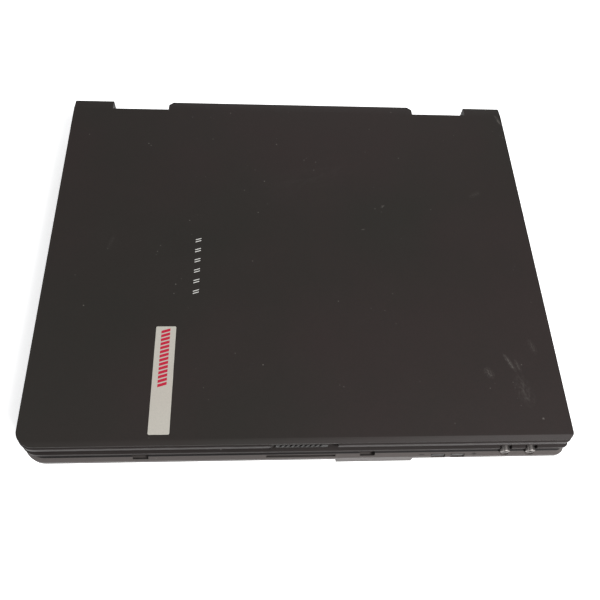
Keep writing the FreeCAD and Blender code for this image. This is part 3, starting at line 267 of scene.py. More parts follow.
def build_dust():
    """Scattered pale specks and a thin film in broad areas."""
    group, source, sink = new_group(
        "dust", [("Place", "vector", None), ("Amount", "value", 0.5)], ["Specks", "Film"])
    cells = add_node(group, "ShaderNodeTexVoronoi")
    cells.inputs["Scale"].default_value = SPECK_CELLS
    group.links.new(source.outputs["Place"], cells.inputs["Vector"])
    dots = remap(group, cells.outputs["Distance"], 0.04, 0.12, 1.0, 0.0)
    some = remap(group, noise(group, source.outputs["Place"], SPECK_AREAS, 2.0, 0.5), 0.61, 0.68)
    specks = maths(group, "MULTIPLY", maths(group, "MULTIPLY", dots, some), source.outputs["Amount"])
    group.links.new(specks, sink.inputs["Specks"])
    film = remap(group, noise(group, source.outputs["Place"], FILM_CLOUDS, 5.0, 0.65), 0.45, 0.8)
    group.links.new(maths(group, "MULTIPLY", film, source.outputs["Amount"]), sink.inputs["Film"])
    return group


dust_group = build_dust()
print(dust_group.name, "has", len(dust_group.nodes), "nodes")

# %% [markdown]
# ## Scuffs
# A scuff is a short band of fine strokes at one place. A Mapping node moves, turns and stretches the
# object's space into the scuff's own, where a soft blob fades out a noise. The stretch is longer one
# way than the other, and that turns the noise into strokes.

# %% Scuffs
STROKE_WAVES = 3.2


def build_scuff():
    """A soft patch of fine strokes along its own length, at one place."""
    group, source, sink = new_group(
        "scuff", [("Place", "vector", None), ("Centre", "vector", None), ("Turn", "vector", None),
                  ("Reach", "vector", None)], ["Mask"])
    local = add_node(group, "ShaderNodeMapping", vector_type="TEXTURE")
    for label, socket in (("Place", "Vector"), ("Centre", "Location"), ("Turn", "Rotation"),
                          ("Reach", "Scale")):
        group.links.new(source.outputs[label], local.inputs[socket])
    away = add_node(group, "ShaderNodeVectorMath", operation="LENGTH")
    group.links.new(local.outputs["Vector"], away.inputs[0])
    blob = remap(group, away.outputs["Value"], 0.2, 1.0, 1.0, 0.0)
    strokes = remap(group, noise(group, local.outputs["Vector"], STROKE_WAVES, 6.0, 0.75), 0.46, 0.66)
    group.links.new(maths(group, "MULTIPLY", blob, strokes), sink.inputs["Mask"])
    return group


scuff_group = build_scuff()
print(scuff_group.name, "has", len(scuff_group.nodes), "nodes")

# %% [markdown]
# ## Materials
# One function mixes the groups into a Principled shader. Every finish then differs by a few numbers:
# two tones that the patches drift between, how rough and how deep the grain is, and how much wear and
# dust it carries. What is the same all over, such as the gloss level, sits on the shader's own socket.

# %% Material maker
DUST_TONE = (0.36, 0.34, 0.31)
# Painted shade in the pits: at the bottom of a pit the colour is mixed up to PIT_SHARE of the way towards the
# tone times PIT_SHADE.
PIT_SHADE, PIT_SHARE, PIT_DEPTH = 0.72, 0.5, 0.0003
WORN_GAIN, WORN_LIFT = 1.8, 0.03
ROUGH_DRIFT, FILM_ROUGH = 0.015, 0.08


def mix_colour(tree, factor, first, second):
    """Blend two colours; each may be a colour or a socket."""
    node = add_node(tree, "ShaderNodeMix", data_type="RGBA")
    for socket, value in zip((node.inputs[0], node.inputs[6], node.inputs[7]), (factor, first, second)):
        if isinstance(value, bpy.types.NodeSocket):
            tree.links.new(value, socket)
        elif isinstance(value, tuple):
            socket.default_value = (*value, 1)
        else:
            socket.default_value = value
    return node.outputs[2]


def use_group(tree, group, place, **values):
    """A group node at a place, with its other inputs given by name."""
    node = add_node(tree, "ShaderNodeGroup", node_tree=group)
    tree.links.new(place, node.inputs["Place"])
    for label, number in values.items():
        node.inputs[label].default_value = number
    return node


def finish(name, tone, drift, roughness=0.55, bump=0.12, grain=1.0, wear=0.5, worn=None,
           dust=0.4, film=0.03, metallic=0.0, gloss=0.35, coat=0.0, scuffs=()):
    """A moulded, painted or plated surface with grain, rubbed edges, dust and scuffs."""
    material = bpy.data.materials.new(name)
    material.use_nodes = True
    tree = material.node_tree
    shader = tree.nodes["Principled BSDF"]
    place = add_node(tree, "ShaderNodeTexCoord").outputs["Object"]
    pits = use_group(tree, grain_group, place, Size=grain)
    rubbed = use_group(tree, wear_group, place, Amount=wear)
    dusty = use_group(tree, dust_group, place, Amount=dust)
    colour = mix_colour(tree, pits.outputs["Patch"], tone, drift)
    # Painted shade: in the pits the colour is mixed towards this darker copy of the tone.
    pit_shade_colour = tuple(channel * PIT_SHADE for channel in tone)
    colour = mix_colour(tree, remap(tree, pits.outputs["PitShade"], 0, 1, PIT_SHARE, 0), colour, pit_shade_colour)
    worn = worn or tuple(min(1, channel * WORN_GAIN + WORN_LIFT) for channel in tone)
    colour = mix_colour(tree, rubbed.outputs["Mask"], colour, worn)
    colour = mix_colour(tree, maths(tree, "MULTIPLY", dusty.outputs["Film"], film), colour, DUST_TONE)
    colour = mix_colour(tree, dusty.outputs["Specks"], colour, DUST_TONE)
    for centre, turn, reach, strength in scuffs:
        scuff = use_group(tree, scuff_group, place, Centre=[value * MM for value in centre],
                          Turn=(0, 0, math.radians(turn)), Reach=[value * MM for value in reach])
        colour = mix_colour(tree, maths(tree, "MULTIPLY", scuff.outputs["Mask"], strength), colour, DUST_TONE)
    tree.links.new(colour, shader.inputs["Base Color"])
    rough = remap(tree, pits.outputs["Patch"], 0, 1, roughness - ROUGH_DRIFT, roughness + ROUGH_DRIFT)
    rough = maths(tree, "ADD", rough, maths(tree, "MULTIPLY", dusty.outputs["Film"], FILM_ROUGH))
    tree.links.new(rough, shader.inputs["Roughness"])
    shader.inputs["Metallic"].default_value = metallic
    shader.inputs["Specular IOR Level"].default_value = gloss
    shader.inputs["Coat Weight"].default_value = coat
    relief = add_node(tree, "ShaderNodeBump")
    relief.inputs["Strength"].default_value = bump
    relief.inputs["Distance"].default_value = PIT_DEPTH
    tree.links.new(pits.outputs["Height"], relief.inputs["Height"])
    tree.links.new(relief.outputs["Normal"], shader.inputs["Normal"])
    return material


print("pits are", PIT_DEPTH / MM, "mm deep")

# %% [markdown]
# ## Finishes of this machine
# The lid is a brown-black moulding with a few scuffs that bags have left near its right front corner.
# The deck and the case are the same plastic, a shade lighter, but the deck is coloured about three
# times darker than the case: painted shade on the front of the lid frame and in the front groove.
# Metal shows only at the sockets, the hinges and the jack rings.

# %% Finishes
LID_SCUFFS = [
    # centre, turn in degrees, reach along, across and down, strength
    ((127.3, -77.5, 38.5), -62, (7.5, 1.7, 5), 0.34),
    ((132, -79.5, 38.5), -72, (5, 1.6, 5), 0.18),
    ((113.5, -84, 38.5), -50, (4.5, 3, 5), 0.2),
    ((143.5, -67, 38.5), -70, (6, 2.4, 5), 0.12),
    ((133, -95, 38.5), -75, (12, 6, 5), 0.09),
    ((141, -112.5, 38.5), 20, (0.8, 0.8, 2), 1.0),
    ((-119, 7, 38.5), 75, (7, 1.8, 5), 0.06),
    ((126, 48, 38.5), 30, (6, 2.5, 5), 0.09),
    ((154.5, 117, 38), -70, (6, 1.2, 5), 0.4),
    ((60, 37, 38.5), 40, (2, 0.7, 2), 0.5),
    ((45, 18, 38.5), 10, (1.6, 0.7, 2), 0.4),
    ((10, 60, 38.5), 25, (45, 14, 8), 0.012),
]
FINISHES = {
    "lid_plastic": finish("lid_charcoal", (0.0158, 0.0139, 0.0117), (0.0205, 0.0137, 0.0130), 0.55, 0.14,
                          wear=0.5, worn=(0.07, 0.064, 0.06), dust=0.3, film=0.008, gloss=0.2,
                          scuffs=LID_SCUFFS),
    # Painted shade: the deck is coloured about three times darker than the case, the same plastic, which
    # darkens the lid frame's front and the groove.
    "deck_plastic": finish("deck_charcoal_painted_shade", (0.020, 0.0165, 0.0155), (0.025, 0.0195, 0.0185), 0.5, 0.14,
                           gloss=0.25),
    "case_plastic": finish("case_charcoal", (0.062, 0.054, 0.051), (0.072, 0.061, 0.057), 0.5, 0.14,
                           gloss=0.3),
    "black_plastic": finish("moulded_black", (0.012, 0.011, 0.011), (0.018, 0.016, 0.016), 0.45, 0.1,
                            worn=(0.07, 0.065, 0.06), wear=0.8),
    "key_plastic": finish("key_black", (0.016, 0.016, 0.017), (0.022, 0.021, 0.021), 0.42, 0.08, wear=0.25),
    "touch_film": finish("touch_film", (0.045, 0.043, 0.042), (0.055, 0.052, 0.05), 0.36, 0.05, wear=0.1),
    "dome_rubber": finish("soft_rubber", (0.016, 0.015, 0.015), (0.026, 0.025, 0.024), 0.8, 0.25, grain=0.6),
    "socket_plastic": finish("socket_black", (0.012, 0.012, 0.013), (0.02, 0.02, 0.02), 0.4, 0.06),
    "socket_steel": finish("socket_steel", (0.55, 0.55, 0.53), (0.48, 0.47, 0.45), 0.32, 0.05, metallic=1),
    "jack_metal": finish("jack_ring", (0.44, 0.42, 0.40), (0.36, 0.34, 0.33), 0.3, 0.04, metallic=1),
    "board": finish("board_green", (0.012, 0.09, 0.045), (0.02, 0.12, 0.06), 0.35, 0.05, film=0.1),
    "chip": finish("chip_black", (0.015, 0.015, 0.016), (0.025, 0.025, 0.026), 0.4, 0.08),
    "heat_metal": finish("heat_aluminium", (0.62, 0.62, 0.63), (0.55, 0.55, 0.56), 0.35, 0.05, metallic=1),
    "cell_steel": finish("cell_steel", (0.6, 0.6, 0.6), (0.52, 0.52, 0.5), 0.28, 0.03, metallic=1),
    "hinge_steel": finish("hinge_steel", (0.2, 0.19, 0.18), (0.26, 0.24, 0.23), 0.4, 0.06, metallic=1),
    "screen": finish("screen_dark", (0.010, 0.011, 0.013), (0.013, 0.014, 0.016), 0.22, 0.01, wear=0.0,
                     dust=0.15, coat=0.3),
    "badge_metal": finish("badge_silver", (0.475, 0.465, 0.41), (0.455, 0.41, 0.365), 0.42, 0.05,
                          metallic=0.25, dust=0.1, film=0.01),
    "mark_ink": finish("mark_ink", (0.58, 0.57, 0.54), (0.45, 0.44, 0.42), 0.6, 0.05, wear=0),
}
badge_red = finish("badge_red", (0.42, 0.008, 0.035), (0.36, 0.008, 0.03), 0.4, 0.04, wear=0, dust=0.05)
slot_of = {part["node"]: part["material_slot"] for part in frame["record"]["subparts"]}
for label, node in nodes.items():
    node.data.materials.clear()
    node.data.materials.append(FINISHES[slot_of[label]])
print(len(FINISHES), "finishes on", len(nodes), "nodes")

# %% [markdown]
# ## Softened copies
# A moulding never has a knife edge. Where the CAD shape is right, its mesh is copied, its loose
# triangles are merged back into whole faces, and a narrow bevel rounds the sharp edges. A Bevel
# modifier could do that too, but the operator hands back the new faces, so they can be marked in the
# attribute called wear, which the materials read to rub them lighter.

# %% Softening helpers
body_of = {label: body for body, labels in frame["record"]["behaviour"]["bodies"].items() for label in labels}
WELD_REACH, FLAT_ANGLE = 0.000002, 0.5


def sharp_edges(bm, least):
    """Edges between two faces that meet at more than an angle."""
    return [edge for edge in bm.edges if len(edge.link_faces) == 2
            and edge.calc_face_angle(0) > math.radians(least)]


def shade(bm, least=32):
    """Smooth faces, with creases only where the angle is large."""
    for face in bm.faces:
        face.smooth = True
    for edge in sharp_edges(bm, least):
        edge.smooth = False


def make_piece(name, bm, body, slot, material=None, replaces=()):
    """Turn a bmesh into a finished piece that rides a body."""
    mesh = bpy.data.meshes.new(name)
    bm.to_mesh(mesh)
    bm.free()
    piece = bpy.data.objects.new(name, mesh)
    bpy.context.scene.collection.objects.link(piece)
    mesh.materials.append(material or FINISHES[slot])
    weighted = piece.modifiers.new("flat_faces", "WEIGHTED_NORMAL")
    weighted.keep_sharp = True
    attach(piece, body)
    if replaces:
        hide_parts(*replaces)
    return piece


def merged(node):
    """A CAD node's mesh as a bmesh of whole faces."""
    bm = bmesh.new()
    bm.from_mesh(nodes[node].data)
    bmesh.ops.remove_doubles(bm, verts=bm.verts, dist=WELD_REACH)
    bmesh.ops.dissolve_limit(bm, angle_limit=math.radians(FLAT_ANGLE), verts=bm.verts, edges=bm.edges)
    return bm


def mark_wear(bm, faces, amount):
    """Write the wear attribute on faces; a new layer starts unworn."""
    layer = bm.loops.layers.float_color.get("wear")
    if layer is None:
        layer = bm.loops.layers.float_color.new("wear")
        mark_wear(bm, bm.faces, 0)
    for face in faces:
        for loop in face.loops:
            loop[layer] = (amount, amount, amount, 1)


def bevel_marked(bm, edges, width, segments=2):
    """Bevel edges and mark the new faces as worn."""
    mark_wear(bm, [], 0)
    result = bmesh.ops.bevel(bm, geom=edges, offset=width, offset_type="OFFSET", segments=segments,
                             profile=0.5, affect="EDGES", clamp_overlap=True, material=-1)
    mark_wear(bm, result["faces"], 1)


def soften(node, name, width, least=40):
    """A copy of a CAD node with its sharp edges rounded, riding where the node rides."""
    bm = merged(node)
    edges = sharp_edges(bm, least)
    bevel_marked(bm, edges, width * MM)
    shade(bm)
    piece = make_piece(name, bm, body_of[node], slot_of[node], replaces=(node,))
    print("%-18s %5d faces, %4d edges softened" % (name, len(piece.data.polygons), len(edges)))
    return piece


# %% [markdown]
# ## Shells
# The lid, its frame, the bottom case and the palm rest are the large mouldings. Their CAD shapes are
# right, with ribs, notches and slots, so they are softened rather than modelled again. The lid, which
# hands touch most, gets the widest rounding.

# %% Shells
soften("display_cover", "lid_shell", 0.5)
lid_frame = soften("display_bezel", "lid_frame", 0.35)
base_shell = soften("bottom_case", "base_shell", 0.35)
palm_rest = soften("top_cover", "palm_rest", 0.35)

# %% [markdown]
# ## Painted shade in recesses
# A groove runs along the front between the lid and the case, and the latch stands in a pocket. Their
# walls are painted black as painted shade, because hardly any light gets in there. A second
# material on faces chosen by their place does it, and it moves with the piece.

# %% Painted shade in recesses
STEP_HIGH, GROOVE_HIGH, GROOVE_DEEP = 2.9, 1.3, 1.35
POCKET_LEFT, POCKET_RIGHT, POCKET_FRONT = 3, 6.2, 0.3


def paint_shade_black(piece, chosen):
    """Give chosen faces of a piece the black finish, as painted shade."""
    piece.data.materials.append(FINISHES["black_plastic"])
    count = 0
    for polygon in piece.data.polygons:
        if chosen(polygon.center / MM, polygon.normal):
            polygon.material_index = 1
            count += 1
    print(piece.name, count, "faces painted black as shade")


latch_low, latch_high = [corner / MM for corner in map(Vector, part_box("latch_slider"))]
step_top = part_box("display_bezel")[0][2] / MM + STEP_HIGH
groove_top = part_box("bottom_case")[1][2] / MM + GROOVE_HIGH


def in_pocket(at):
    """Whether a place in millimetres is in the latch's pocket."""
    return (latch_low.x - POCKET_LEFT < at.x < latch_high.x + POCKET_RIGHT
            and latch_low.y - POCKET_FRONT < at.y < latch_high.y)


# Painted shade: the lid frame's undercut step and latch pocket, the palm rest's front in the groove and the
# case's top faces at the groove are painted black.
paint_shade_black(lid_frame, lambda at, normal: (abs(normal.z) < 0.9 and at.z < step_top) or in_pocket(at))
paint_shade_black(palm_rest, lambda at, normal: at.z < groove_top and at.y < 0)
paint_shade_black(base_shell, lambda at, normal: normal.z > 0.95 and at.z > groove_top - GROOVE_DEEP)

# %% [markdown]
# ## Modules, doors and buttons
# Everything that slides or presses is a moulding of its own, with a fine shadow gap round it. A softer
# edge on each side of that gap is what makes it read as two parts. The widths differ because a thin
# latch can only take a hair's breadth, while a battery was made with a broad one.

# %% Modules, doors and buttons
SOFTENED = {
    "battery_pack": 0.5, "hard_disk": 0.5, "optical_drive": 0.3, "disc_tray": 0.4, "tray_button": 0.3,
    "memory_door": 0.4, "battery_latch": 0.4, "card_eject": 0.4, "click_left": 0.6, "click_right": 0.6,
    "volume_down": 0.5, "volume_up": 0.5, "power_button": 0.5, "touchpad": 0.3, "keyboard_tray": 0.2,
    "hinge_tower_left": 0.4, "hinge_tower_right": 0.4, "hinge_pin_left": 0.2, "hinge_pin_right": 0.2,
    "latch_slider": 0.14, "power_jack": 0.25, "phone_jack": 0.25, "parallel_port": 0.25,
    "serial_port": 0.25, "video_port": 0.25, "usb_port": 0.25, "docking_connector": 0.2,
    "card_cage": 0.2, "fan_rotor": 0.15, "fan_housing": 0.2, "lid_bumpers": 0.08,
}
for label, width in SOFTENED.items():
    piece = soften(label, label + "_soft", width)
    if label.startswith("volume"):
        piece.data.materials[0] = FINISHES["black_plastic"]

# %% [markdown]
# ## Small shapes
# Inlays, printed marks and trims are boxes with rounded edges, and pegs, rings and feet are lathe work:
# a profile of a few points, spun once round an axis. Every place is taken from a node's box, so the
# small shapes follow the CAD model when one of its sizes changes.

# %% Small shape helpers
Box = namedtuple("Box", "x0 y0 z0 x1 y1 z1")


def corners(label):
    """A node's box in millimetres."""
    low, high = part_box(label)
    return Box(*[value / MM for value in (*low, *high)])


def block(bm, low, high, width=0.0):
    """A box between two corners in millimetres, with rounded edges."""
    made = bmesh.ops.create_cube(bm, size=1)["verts"]
    low, high = Vector(low) * MM, Vector(high) * MM
    bmesh.ops.scale(bm, vec=high - low, verts=made)
    bmesh.ops.translate(bm, vec=(low + high) / 2, verts=made)
    mark_wear(bm, {face for vert in made for face in vert.link_faces}, 0)
    if width:
        edges = dict.fromkeys(edge for vert in made for edge in vert.link_edges)
        bevel_marked(bm, list(edges), width * MM)
    return made


def lathe(bm, centre, axis, profile, steps=48):
    """Spin a profile of (along, radius) in millimetres round an axis through a centre."""
    axis = Vector(axis).normalized()
    out = axis.orthogonal().normalized()
    centre = Vector(centre) * MM
    verts = [bm.verts.new(centre + axis * along * MM + out * radius * MM) for along, radius in profile]
    edges = [bm.edges.new(pair) for pair in zip(verts, verts[1:])]
    bmesh.ops.spin(bm, geom=verts + edges, cent=centre, axis=axis, angle=2 * math.pi,
                   steps=steps, use_merge=True)
    bmesh.ops.remove_doubles(bm, verts=bm.verts, dist=0.00001)
    bmesh.ops.recalc_face_normals(bm, faces=bm.faces)


print("the badge's box is", [round(value, 1) for value in corners("badge_plate")])

# %% [markdown]
# ## Badge
# A satin plate sits in a shallow recess in the lid, with rounded corners and a fine bright edge. Its
# print is plain: a red hatch of slanted strokes along the rear part. The strokes are thin blocks on
# the plate, which stay crisp from close by, where a painted pattern would blur.

# %% Badge
PRINT_DEEP = 0.06
PLATE_CORNER, PLATE_EDGE = 0.8, 0.14
plate = corners("badge_plate")
bm = bmesh.new()
block(bm, plate[:3], (plate.x1, plate.y1, plate.z1 - PRINT_DEEP))
upright = [edge for edge in bm.edges if abs(edge.verts[0].co.z - edge.verts[1].co.z) > 0.0001]
bmesh.ops.bevel(bm, geom=upright, offset=PLATE_CORNER * MM, segments=4, profile=0.5, affect="EDGES",
                offset_type="OFFSET", clamp_overlap=True, material=-1)
bevel_marked(bm, sharp_edges(bm, 60), PLATE_EDGE * MM)
shade(bm)
make_piece("badge_soft", bm, "lid", "badge_metal", replaces=("badge_plate",))
print("badge", round(plate.x1 - plate.x0, 1), "by", round(plate.y1 - plate.y0, 1), "mm")

# %% Badge hatch
HATCH_STROKES, HATCH_PITCH, HATCH_STROKE = 14, 2.6, 1.75
HATCH_LONG, HATCH_HALF, HATCH_LEAN = 38.5, 2.6, 1.6
middle = (plate.x0 + plate.x1) / 2
bm = bmesh.new()
for number in range(HATCH_STROKES):
    foot = plate.y1 - HATCH_LONG + number * HATCH_PITCH
    made = block(bm, (middle - HATCH_HALF, foot, plate.z1 - 2 * PRINT_DEEP),
                 (middle + HATCH_HALF, foot + HATCH_STROKE, plate.z1))
    for vert in made:
        if vert.co.x > middle * MM:
            vert.co.y += HATCH_LEAN * MM
shade(bm)
make_piece("badge_hatch", bm, "lid", "badge_metal", material=badge_red)
print(HATCH_STROKES, "red strokes")

# %% [markdown]
# ## Name marks
# Behind the badge, a column of pale print runs towards the rear of the lid. Six pairs of thin strokes
# stand for the printed name, and spell nothing. They lean like slanted print that is read from the
# right-hand side.

# %% Name marks
MARKS, MARK_THIN, MARK_STARTS, MARK_LEAN = 6, 0.5, (0.3, 1.9), 1.2
area = corners("name_marks")
pitch = (area.y1 - area.y0 - (area.x1 - area.x0)) / (MARKS - 1)
bm = bmesh.new()
for number in range(MARKS):
    for start in MARK_STARTS:
        foot = area.y0 + number * pitch + start
        made = block(bm, (area.x0, foot, area.z0), (area.x1, foot + MARK_THIN, area.z1))
        for vert in made:
            if vert.co.x > (area.x0 + area.x1) / 2 * MM:
                vert.co.y += MARK_LEAN * MM
shade(bm)
make_piece("name_strokes", bm, "lid", "mark_ink", replaces=("name_marks",))
print(MARKS, "pairs of strokes, pitch", round(pitch, 2), "mm")

# %% [markdown]
# ## Jacks
# Each audio jack is a dark metal sleeve that stands in a notch of the front edge, with a narrow
# plated ring round its bore. Both are lathe work. The bore is part of the sleeve's profile, so it
# needs no boolean cut and stays clean when it is shaded smooth.

# %% Jacks
RING, BORE = 2.45, 1.8
for label in ("headphone_jack", "microphone_jack"):
    jack = corners(label)
    radius, length = (jack.x1 - jack.x0) / 2, jack.y1 - jack.y0
    centre = ((jack.x0 + jack.x1) / 2, jack.y0, (jack.z0 + jack.z1) / 2)
    bm = bmesh.new()
    lathe(bm, centre, (0, 1, 0), [
        (length, 0), (length, radius), (0.5, radius), (0.15, radius - 0.15), (0.02, radius - 0.5),
        (0.02, RING), (0.6, RING - 0.1), (0.6, BORE), (length - 1, BORE), (length - 1, 0)])
    shade(bm, 50)
    make_piece(label + "_sleeve", bm, "base", "jack_metal", FINISHES["hinge_steel"], (label,))
    bm = bmesh.new()
    lathe(bm, centre, (0, 1, 0), [
        (0.55, RING - 0.15), (0.12, RING - 0.15), (0, RING - 0.3), (0, BORE + 0.2), (0.15, BORE),
        (0.55, BORE), (0.55, RING - 0.15)])
    shade(bm, 50)
    make_piece(label + "_ring", bm, "base", "jack_metal")
print("jack radius", round(radius, 2), "mm")

# %% [markdown]
# ## Sockets at the rear
# The serial and video sockets are steel shells and the long one is black. Inside each shell stands a
# plastic tongue with its rows of contacts. A contact is a tiny peg with a chamfered tip and ten sides,
# because there are forty-nine of them.

# %% Contacts
BLADE_MARGIN, BLADE_HALF, BLADE_SINK, BLADE_DEEP = 3, 2, 1, 2
BLADE_SKIN, FACE_LIFT, ROW_PITCH, END_GAP = 0.1, 0.12, 1.25, 2
PEG = [(-0.5, 0), (-0.5, 0.36), (0.04, 0.36), (0.1, 0.28), (0.1, 0)]
PEG_SIDES = 10
CONTACTS = {"serial_port": (5, 4), "video_port": (5, 5, 5), "parallel_port": (13, 12)}
for label, rows in CONTACTS.items():
    port = corners(label)
    middle, level = (port.x0 + port.x1) / 2, (port.z0 + port.z1) / 2
    back = port.y1 - BLADE_SINK + FACE_LIFT
    side, half = BLADE_MARGIN - BLADE_SKIN, BLADE_HALF + BLADE_SKIN
    bm = bmesh.new()
    block(bm, (port.x0 + side, back - BLADE_DEEP, level - half), (port.x1 - side, back, level + half), 0.3)
    shade(bm)
    make_piece(label + "_tongue", bm, "base", "socket_plastic")
    bm = bmesh.new()
    step = (port.x1 - port.x0 - 2 * BLADE_MARGIN - END_GAP) / max(rows)
    for row, count in enumerate(rows):
        z = level + (row - (len(rows) - 1) / 2) * ROW_PITCH
        for number in range(count):
            x = middle + (number - (count - 1) / 2) * step
            lathe(bm, (x, back, z), (0, 1, 0), PEG, PEG_SIDES)
    shade(bm, 50)
    make_piece(label + "_contacts", bm, "base", "jack_metal")
    print(label, sum(rows), "contacts")

# %% [markdown]
# ## Latch ramp
# Beside the latch the frame has a small ramp, which guides the finger on to the slider. It is one
# block whose front corner next to the slider is pushed back.

# %% Latch ramp
RAMP_LONG, RAMP_DEEP, RAMP_BACK = 2.7, 3, 2.4
RAMP_GAP, FRONT_INSET = 0.2, 0.1
bezel_front = corners("display_bezel").y0
latch = corners("latch_slider")
bm = bmesh.new()
made = block(bm, (latch.x0 - RAMP_LONG - RAMP_GAP, bezel_front + FRONT_INSET, latch.z0),
             (latch.x0 - RAMP_GAP, bezel_front + RAMP_DEEP, latch.z1))
for vert in made:
    if vert.co.x > (latch.x0 - 1) * MM and vert.co.y < (bezel_front + 1) * MM:
        vert.co.y += RAMP_BACK * MM
shade(bm)
make_piece("latch_ramp", bm, "lid", "deck_plastic")
print("ramp", RAMP_LONG, "mm long")

# %% [markdown]
# ## Signs on the lip
# A minus and a plus are printed on the sloping lip beside the volume buttons. The strokes are made
# flat on the floor as thin blocks, then one turn of 45 degrees lays them on the slope.

# %% Signs on the lip
SLOPE_RISE, INK_THICK, SIGN_AWAY = 2, 0.03, 6
DASH = (-1.4, 1.4, 1.2, 1.6)
POST = (-0.2, 0.2, 0.4, 2.4)
lip_front = corners("bottom_case").y0
slope_foot = corners("bottom_case").z1 - SLOPE_RISE


def lip_sign(name, x, strokes):
    """Flat printed strokes on the sloping lip; each is (left, right, low, high) along the slope."""
    bm = bmesh.new()
    for left, right, low, high in strokes:
        block(bm, (x + left, low, 0), (x + right, high, INK_THICK))
    slope = Matrix.Rotation(math.radians(45), 4, "X")
    bmesh.ops.transform(bm, matrix=slope, verts=bm.verts)
    corner = Vector((0, lip_front, slope_foot)) * MM
    bmesh.ops.translate(bm, vec=corner, verts=bm.verts)
    make_piece(name, bm, "base", "black_plastic")


lip_sign("sign_minus", corners("volume_down").x0 - SIGN_AWAY, [DASH])
lip_sign("sign_plus", corners("volume_up").x1 + SIGN_AWAY, [DASH, POST])
print("signs start at", round(slope_foot, 2), "mm")

# %% [markdown]
# ## Separate shells
# One CAD node may hold many shells, such as the caps of a row, the feet or the screws. To shape each of
# them alone, the script walks from vertex to vertex along the edges until nothing more is reached.


# %% Separate shells
def loose_parts(bm):
    """The separate shells of a bmesh, each as a list of its vertices."""
    seen = set()
    shells = []
    for start in bm.verts:
        if start in seen:
            continue
        seen.add(start)
        reach = [start]
        shell = []
        while reach:
            vert = reach.pop()
            shell.append(vert)
            for edge in vert.link_edges:
                other = edge.other_vert(vert)
                if other not in seen:
                    seen.add(other)
                    reach.append(other)
        shells.append(shell)
    return shells


def shell_boxes(label):
    """The boxes of a node's shells in millimetres."""
    bm = merged(label)
    boxes = []
    for shell in loose_parts(bm):
        low = [min(vert.co[axis] for vert in shell) / MM for axis in range(3)]
        high = [max(vert.co[axis] for vert in shell) / MM for axis in range(3)]
        boxes.append(Box(*low, *high))
    bm.free()
    return boxes


def shell_spots(label):
    """The middles (x, y) of a node's shells in millimetres."""
    bm = merged(label)
    spots = [[sum(vert.co[axis] for vert in shell) / len(shell) / MM for axis in (0, 1)]
             for shell in loose_parts(bm)]
    bm.free()
    return spots


print("the number row has", len(shell_boxes("keys_number")), "caps")

# %% [markdown]
# ## Keys
# A key cap is a block that narrows upwards, with a shallow dish where the finger lands. The CAD gives
# each cap's box; one function shapes the cap inside it, and each row is one piece, as each row moves
# as one body.

# %% Key caps
SIDE_TAPER, FRONT_TAPER, REAR_TAPER, CAP_EDGE = 1.8, 1.8, 0.9, 0.55
DISH = ((1.0, 0.12), (1.6, 0.23))


def make_cap(box):
    """One key cap as a bmesh; its dish is two insets, each pushed further down."""
    cap = bmesh.new()
    made = block(cap, box[:3], box[3:])
    middle = [(low + high) / 2 * MM for low, high in zip(box[:3], box[3:])]
    for vert in made:
        if vert.co.z > middle[2]:
            vert.co.x += (SIDE_TAPER if vert.co.x < middle[0] else -SIDE_TAPER) * MM
            vert.co.y += (FRONT_TAPER if vert.co.y < middle[1] else -REAR_TAPER) * MM
    rims = [edge for edge in cap.edges if max(vert.co.z for vert in edge.verts) > middle[2]]
    bevel_marked(cap, rims, CAP_EDGE * MM)
    top = max((face for face in cap.faces if face.normal.z > 0.9), key=lambda face: face.calc_area())
    for thickness, drop in DISH:
        bmesh.ops.inset_region(cap, faces=[top], thickness=thickness * MM)
        bmesh.ops.translate(cap, vec=(0, 0, -drop * MM), verts=top.verts)
    shade(cap, 50)
    return cap


def make_row(label):
    """Every cap of one row, in one piece."""
    boxes = shell_boxes(label)
    bm = bmesh.new()
    for box in boxes:
        cap = make_cap(box)
        copy = bpy.data.meshes.new("cap")
        cap.to_mesh(copy)
        cap.free()
        bm.from_mesh(copy)
        bpy.data.meshes.remove(copy)
    make_piece(label + "_caps", bm, body_of[label], "key_plastic", replaces=(label,))
    print(label, len(boxes), "caps")


for label in ("keys_function", "keys_number", "keys_upper", "keys_home", "keys_lower", "keys_bottom",
              "space_bar"):
    make_row(label)

# %% [markdown]
# ## Screen
# The panel fills the window of the bezel, and is nearly black, as a screen is when it is switched off.
# Inside a narrow border, a thin sheet of glass with a rounded edge stands a hair proud, and that edge
# shows where the picture would end.

# %% Screen
BORDER_SIDE, BORDER_FRONT, BORDER_REAR = 9, 7, 7
GLASS_PROUD, GLASS_SUNK = 0.3, 0.1
panel = corners("lcd_panel")
bm = bmesh.new()
block(bm, (panel.x0 + BORDER_SIDE, panel.y0 + BORDER_FRONT, panel.z0 - GLASS_PROUD),
      (panel.x1 - BORDER_SIDE, panel.y1 - BORDER_REAR, panel.z0 + GLASS_SUNK), 0.1)
shade(bm)
make_piece("screen_glass", bm, "lid", "screen")
print("screen", round(panel.x1 - panel.x0 - 2 * BORDER_SIDE), "mm wide")

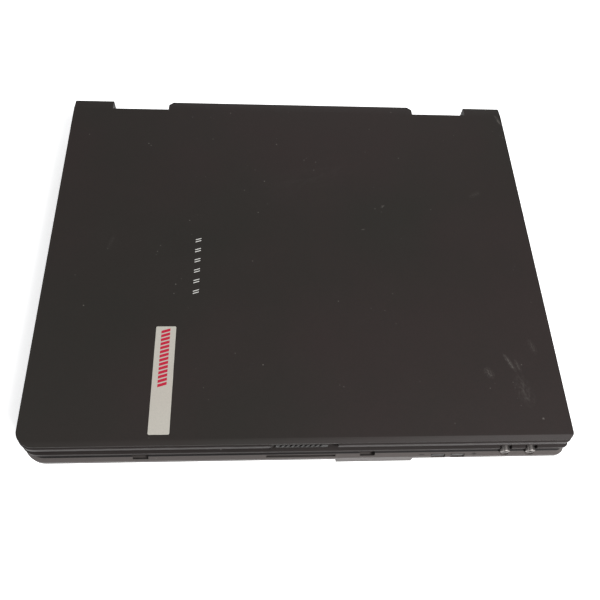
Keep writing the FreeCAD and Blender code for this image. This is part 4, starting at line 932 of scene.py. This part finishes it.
# %% [markdown]
# ## Feet
# The feet are rubber discs with a worn rim and a shallow ring, where the rubber meets the table. One
# profile, spun at each spot, makes them all.

# %% Feet
FOOT_RADIUS = 7
foot_top = corners("rubber_feet").z1
foot_spots = shell_spots("rubber_feet")
bm = bmesh.new()
for x, y in foot_spots:
    lathe(bm, (x, y, 0), (0, 0, 1), [
        (foot_top, 0), (foot_top, FOOT_RADIUS), (0.5, FOOT_RADIUS), (0.15, 6.8), (0, 6.4), (0, 5),
        (0.3, 4.8), (0.3, 4.2), (0, 4), (0, 0)], 40)
shade(bm, 40)
make_piece("feet_soft", bm, "base", "dome_rubber", replaces=("rubber_feet",))
print(len(foot_spots), "feet")

# %% [markdown]
# ## Screws
# The screws are small pan heads with a six-sided socket. The head and the socket are two spins, one
# with thirty sides and one with six. The slivers that this leaves between the two rims are filled, and
# the normals are worked out again for the closed shape.

# %% Screws
HEAD_RADIUS, SHANK_RADIUS, HEAD_TOP = 2.8, 1.3, 2.8
SOCKET_RIM, SOCKET_RADIUS, SOCKET_DEEP = 1.5, 1.2, 0.8
screws = corners("case_screws")
screw_spots = shell_spots("case_screws")
bm = bmesh.new()
for x, y in screw_spots:
    lathe(bm, (x, y, 0), (0, 0, 1), [
        (screws.z1, 0), (screws.z1, SHANK_RADIUS), (HEAD_TOP, SHANK_RADIUS + 0.1),
        (HEAD_TOP, HEAD_RADIUS), (screws.z0 + 0.35, HEAD_RADIUS), (screws.z0 + 0.05, 2.5),
        (screws.z0, 2.1), (screws.z0, SOCKET_RIM)], 30)
    lathe(bm, (x, y, 0), (0, 0, 1), [
        (screws.z0, SOCKET_RIM), (screws.z0 + 0.1, 1.25), (screws.z0 + SOCKET_DEEP, SOCKET_RADIUS),
        (screws.z0 + SOCKET_DEEP, 0)], 6)
bmesh.ops.holes_fill(bm, edges=[edge for edge in bm.edges if len(edge.link_faces) == 1])
bmesh.ops.recalc_face_normals(bm, faces=bm.faces)
shade(bm, 40)
make_piece("screws_soft", bm, "base", "hinge_steel", replaces=("case_screws",))
print(len(screw_spots), "screws")
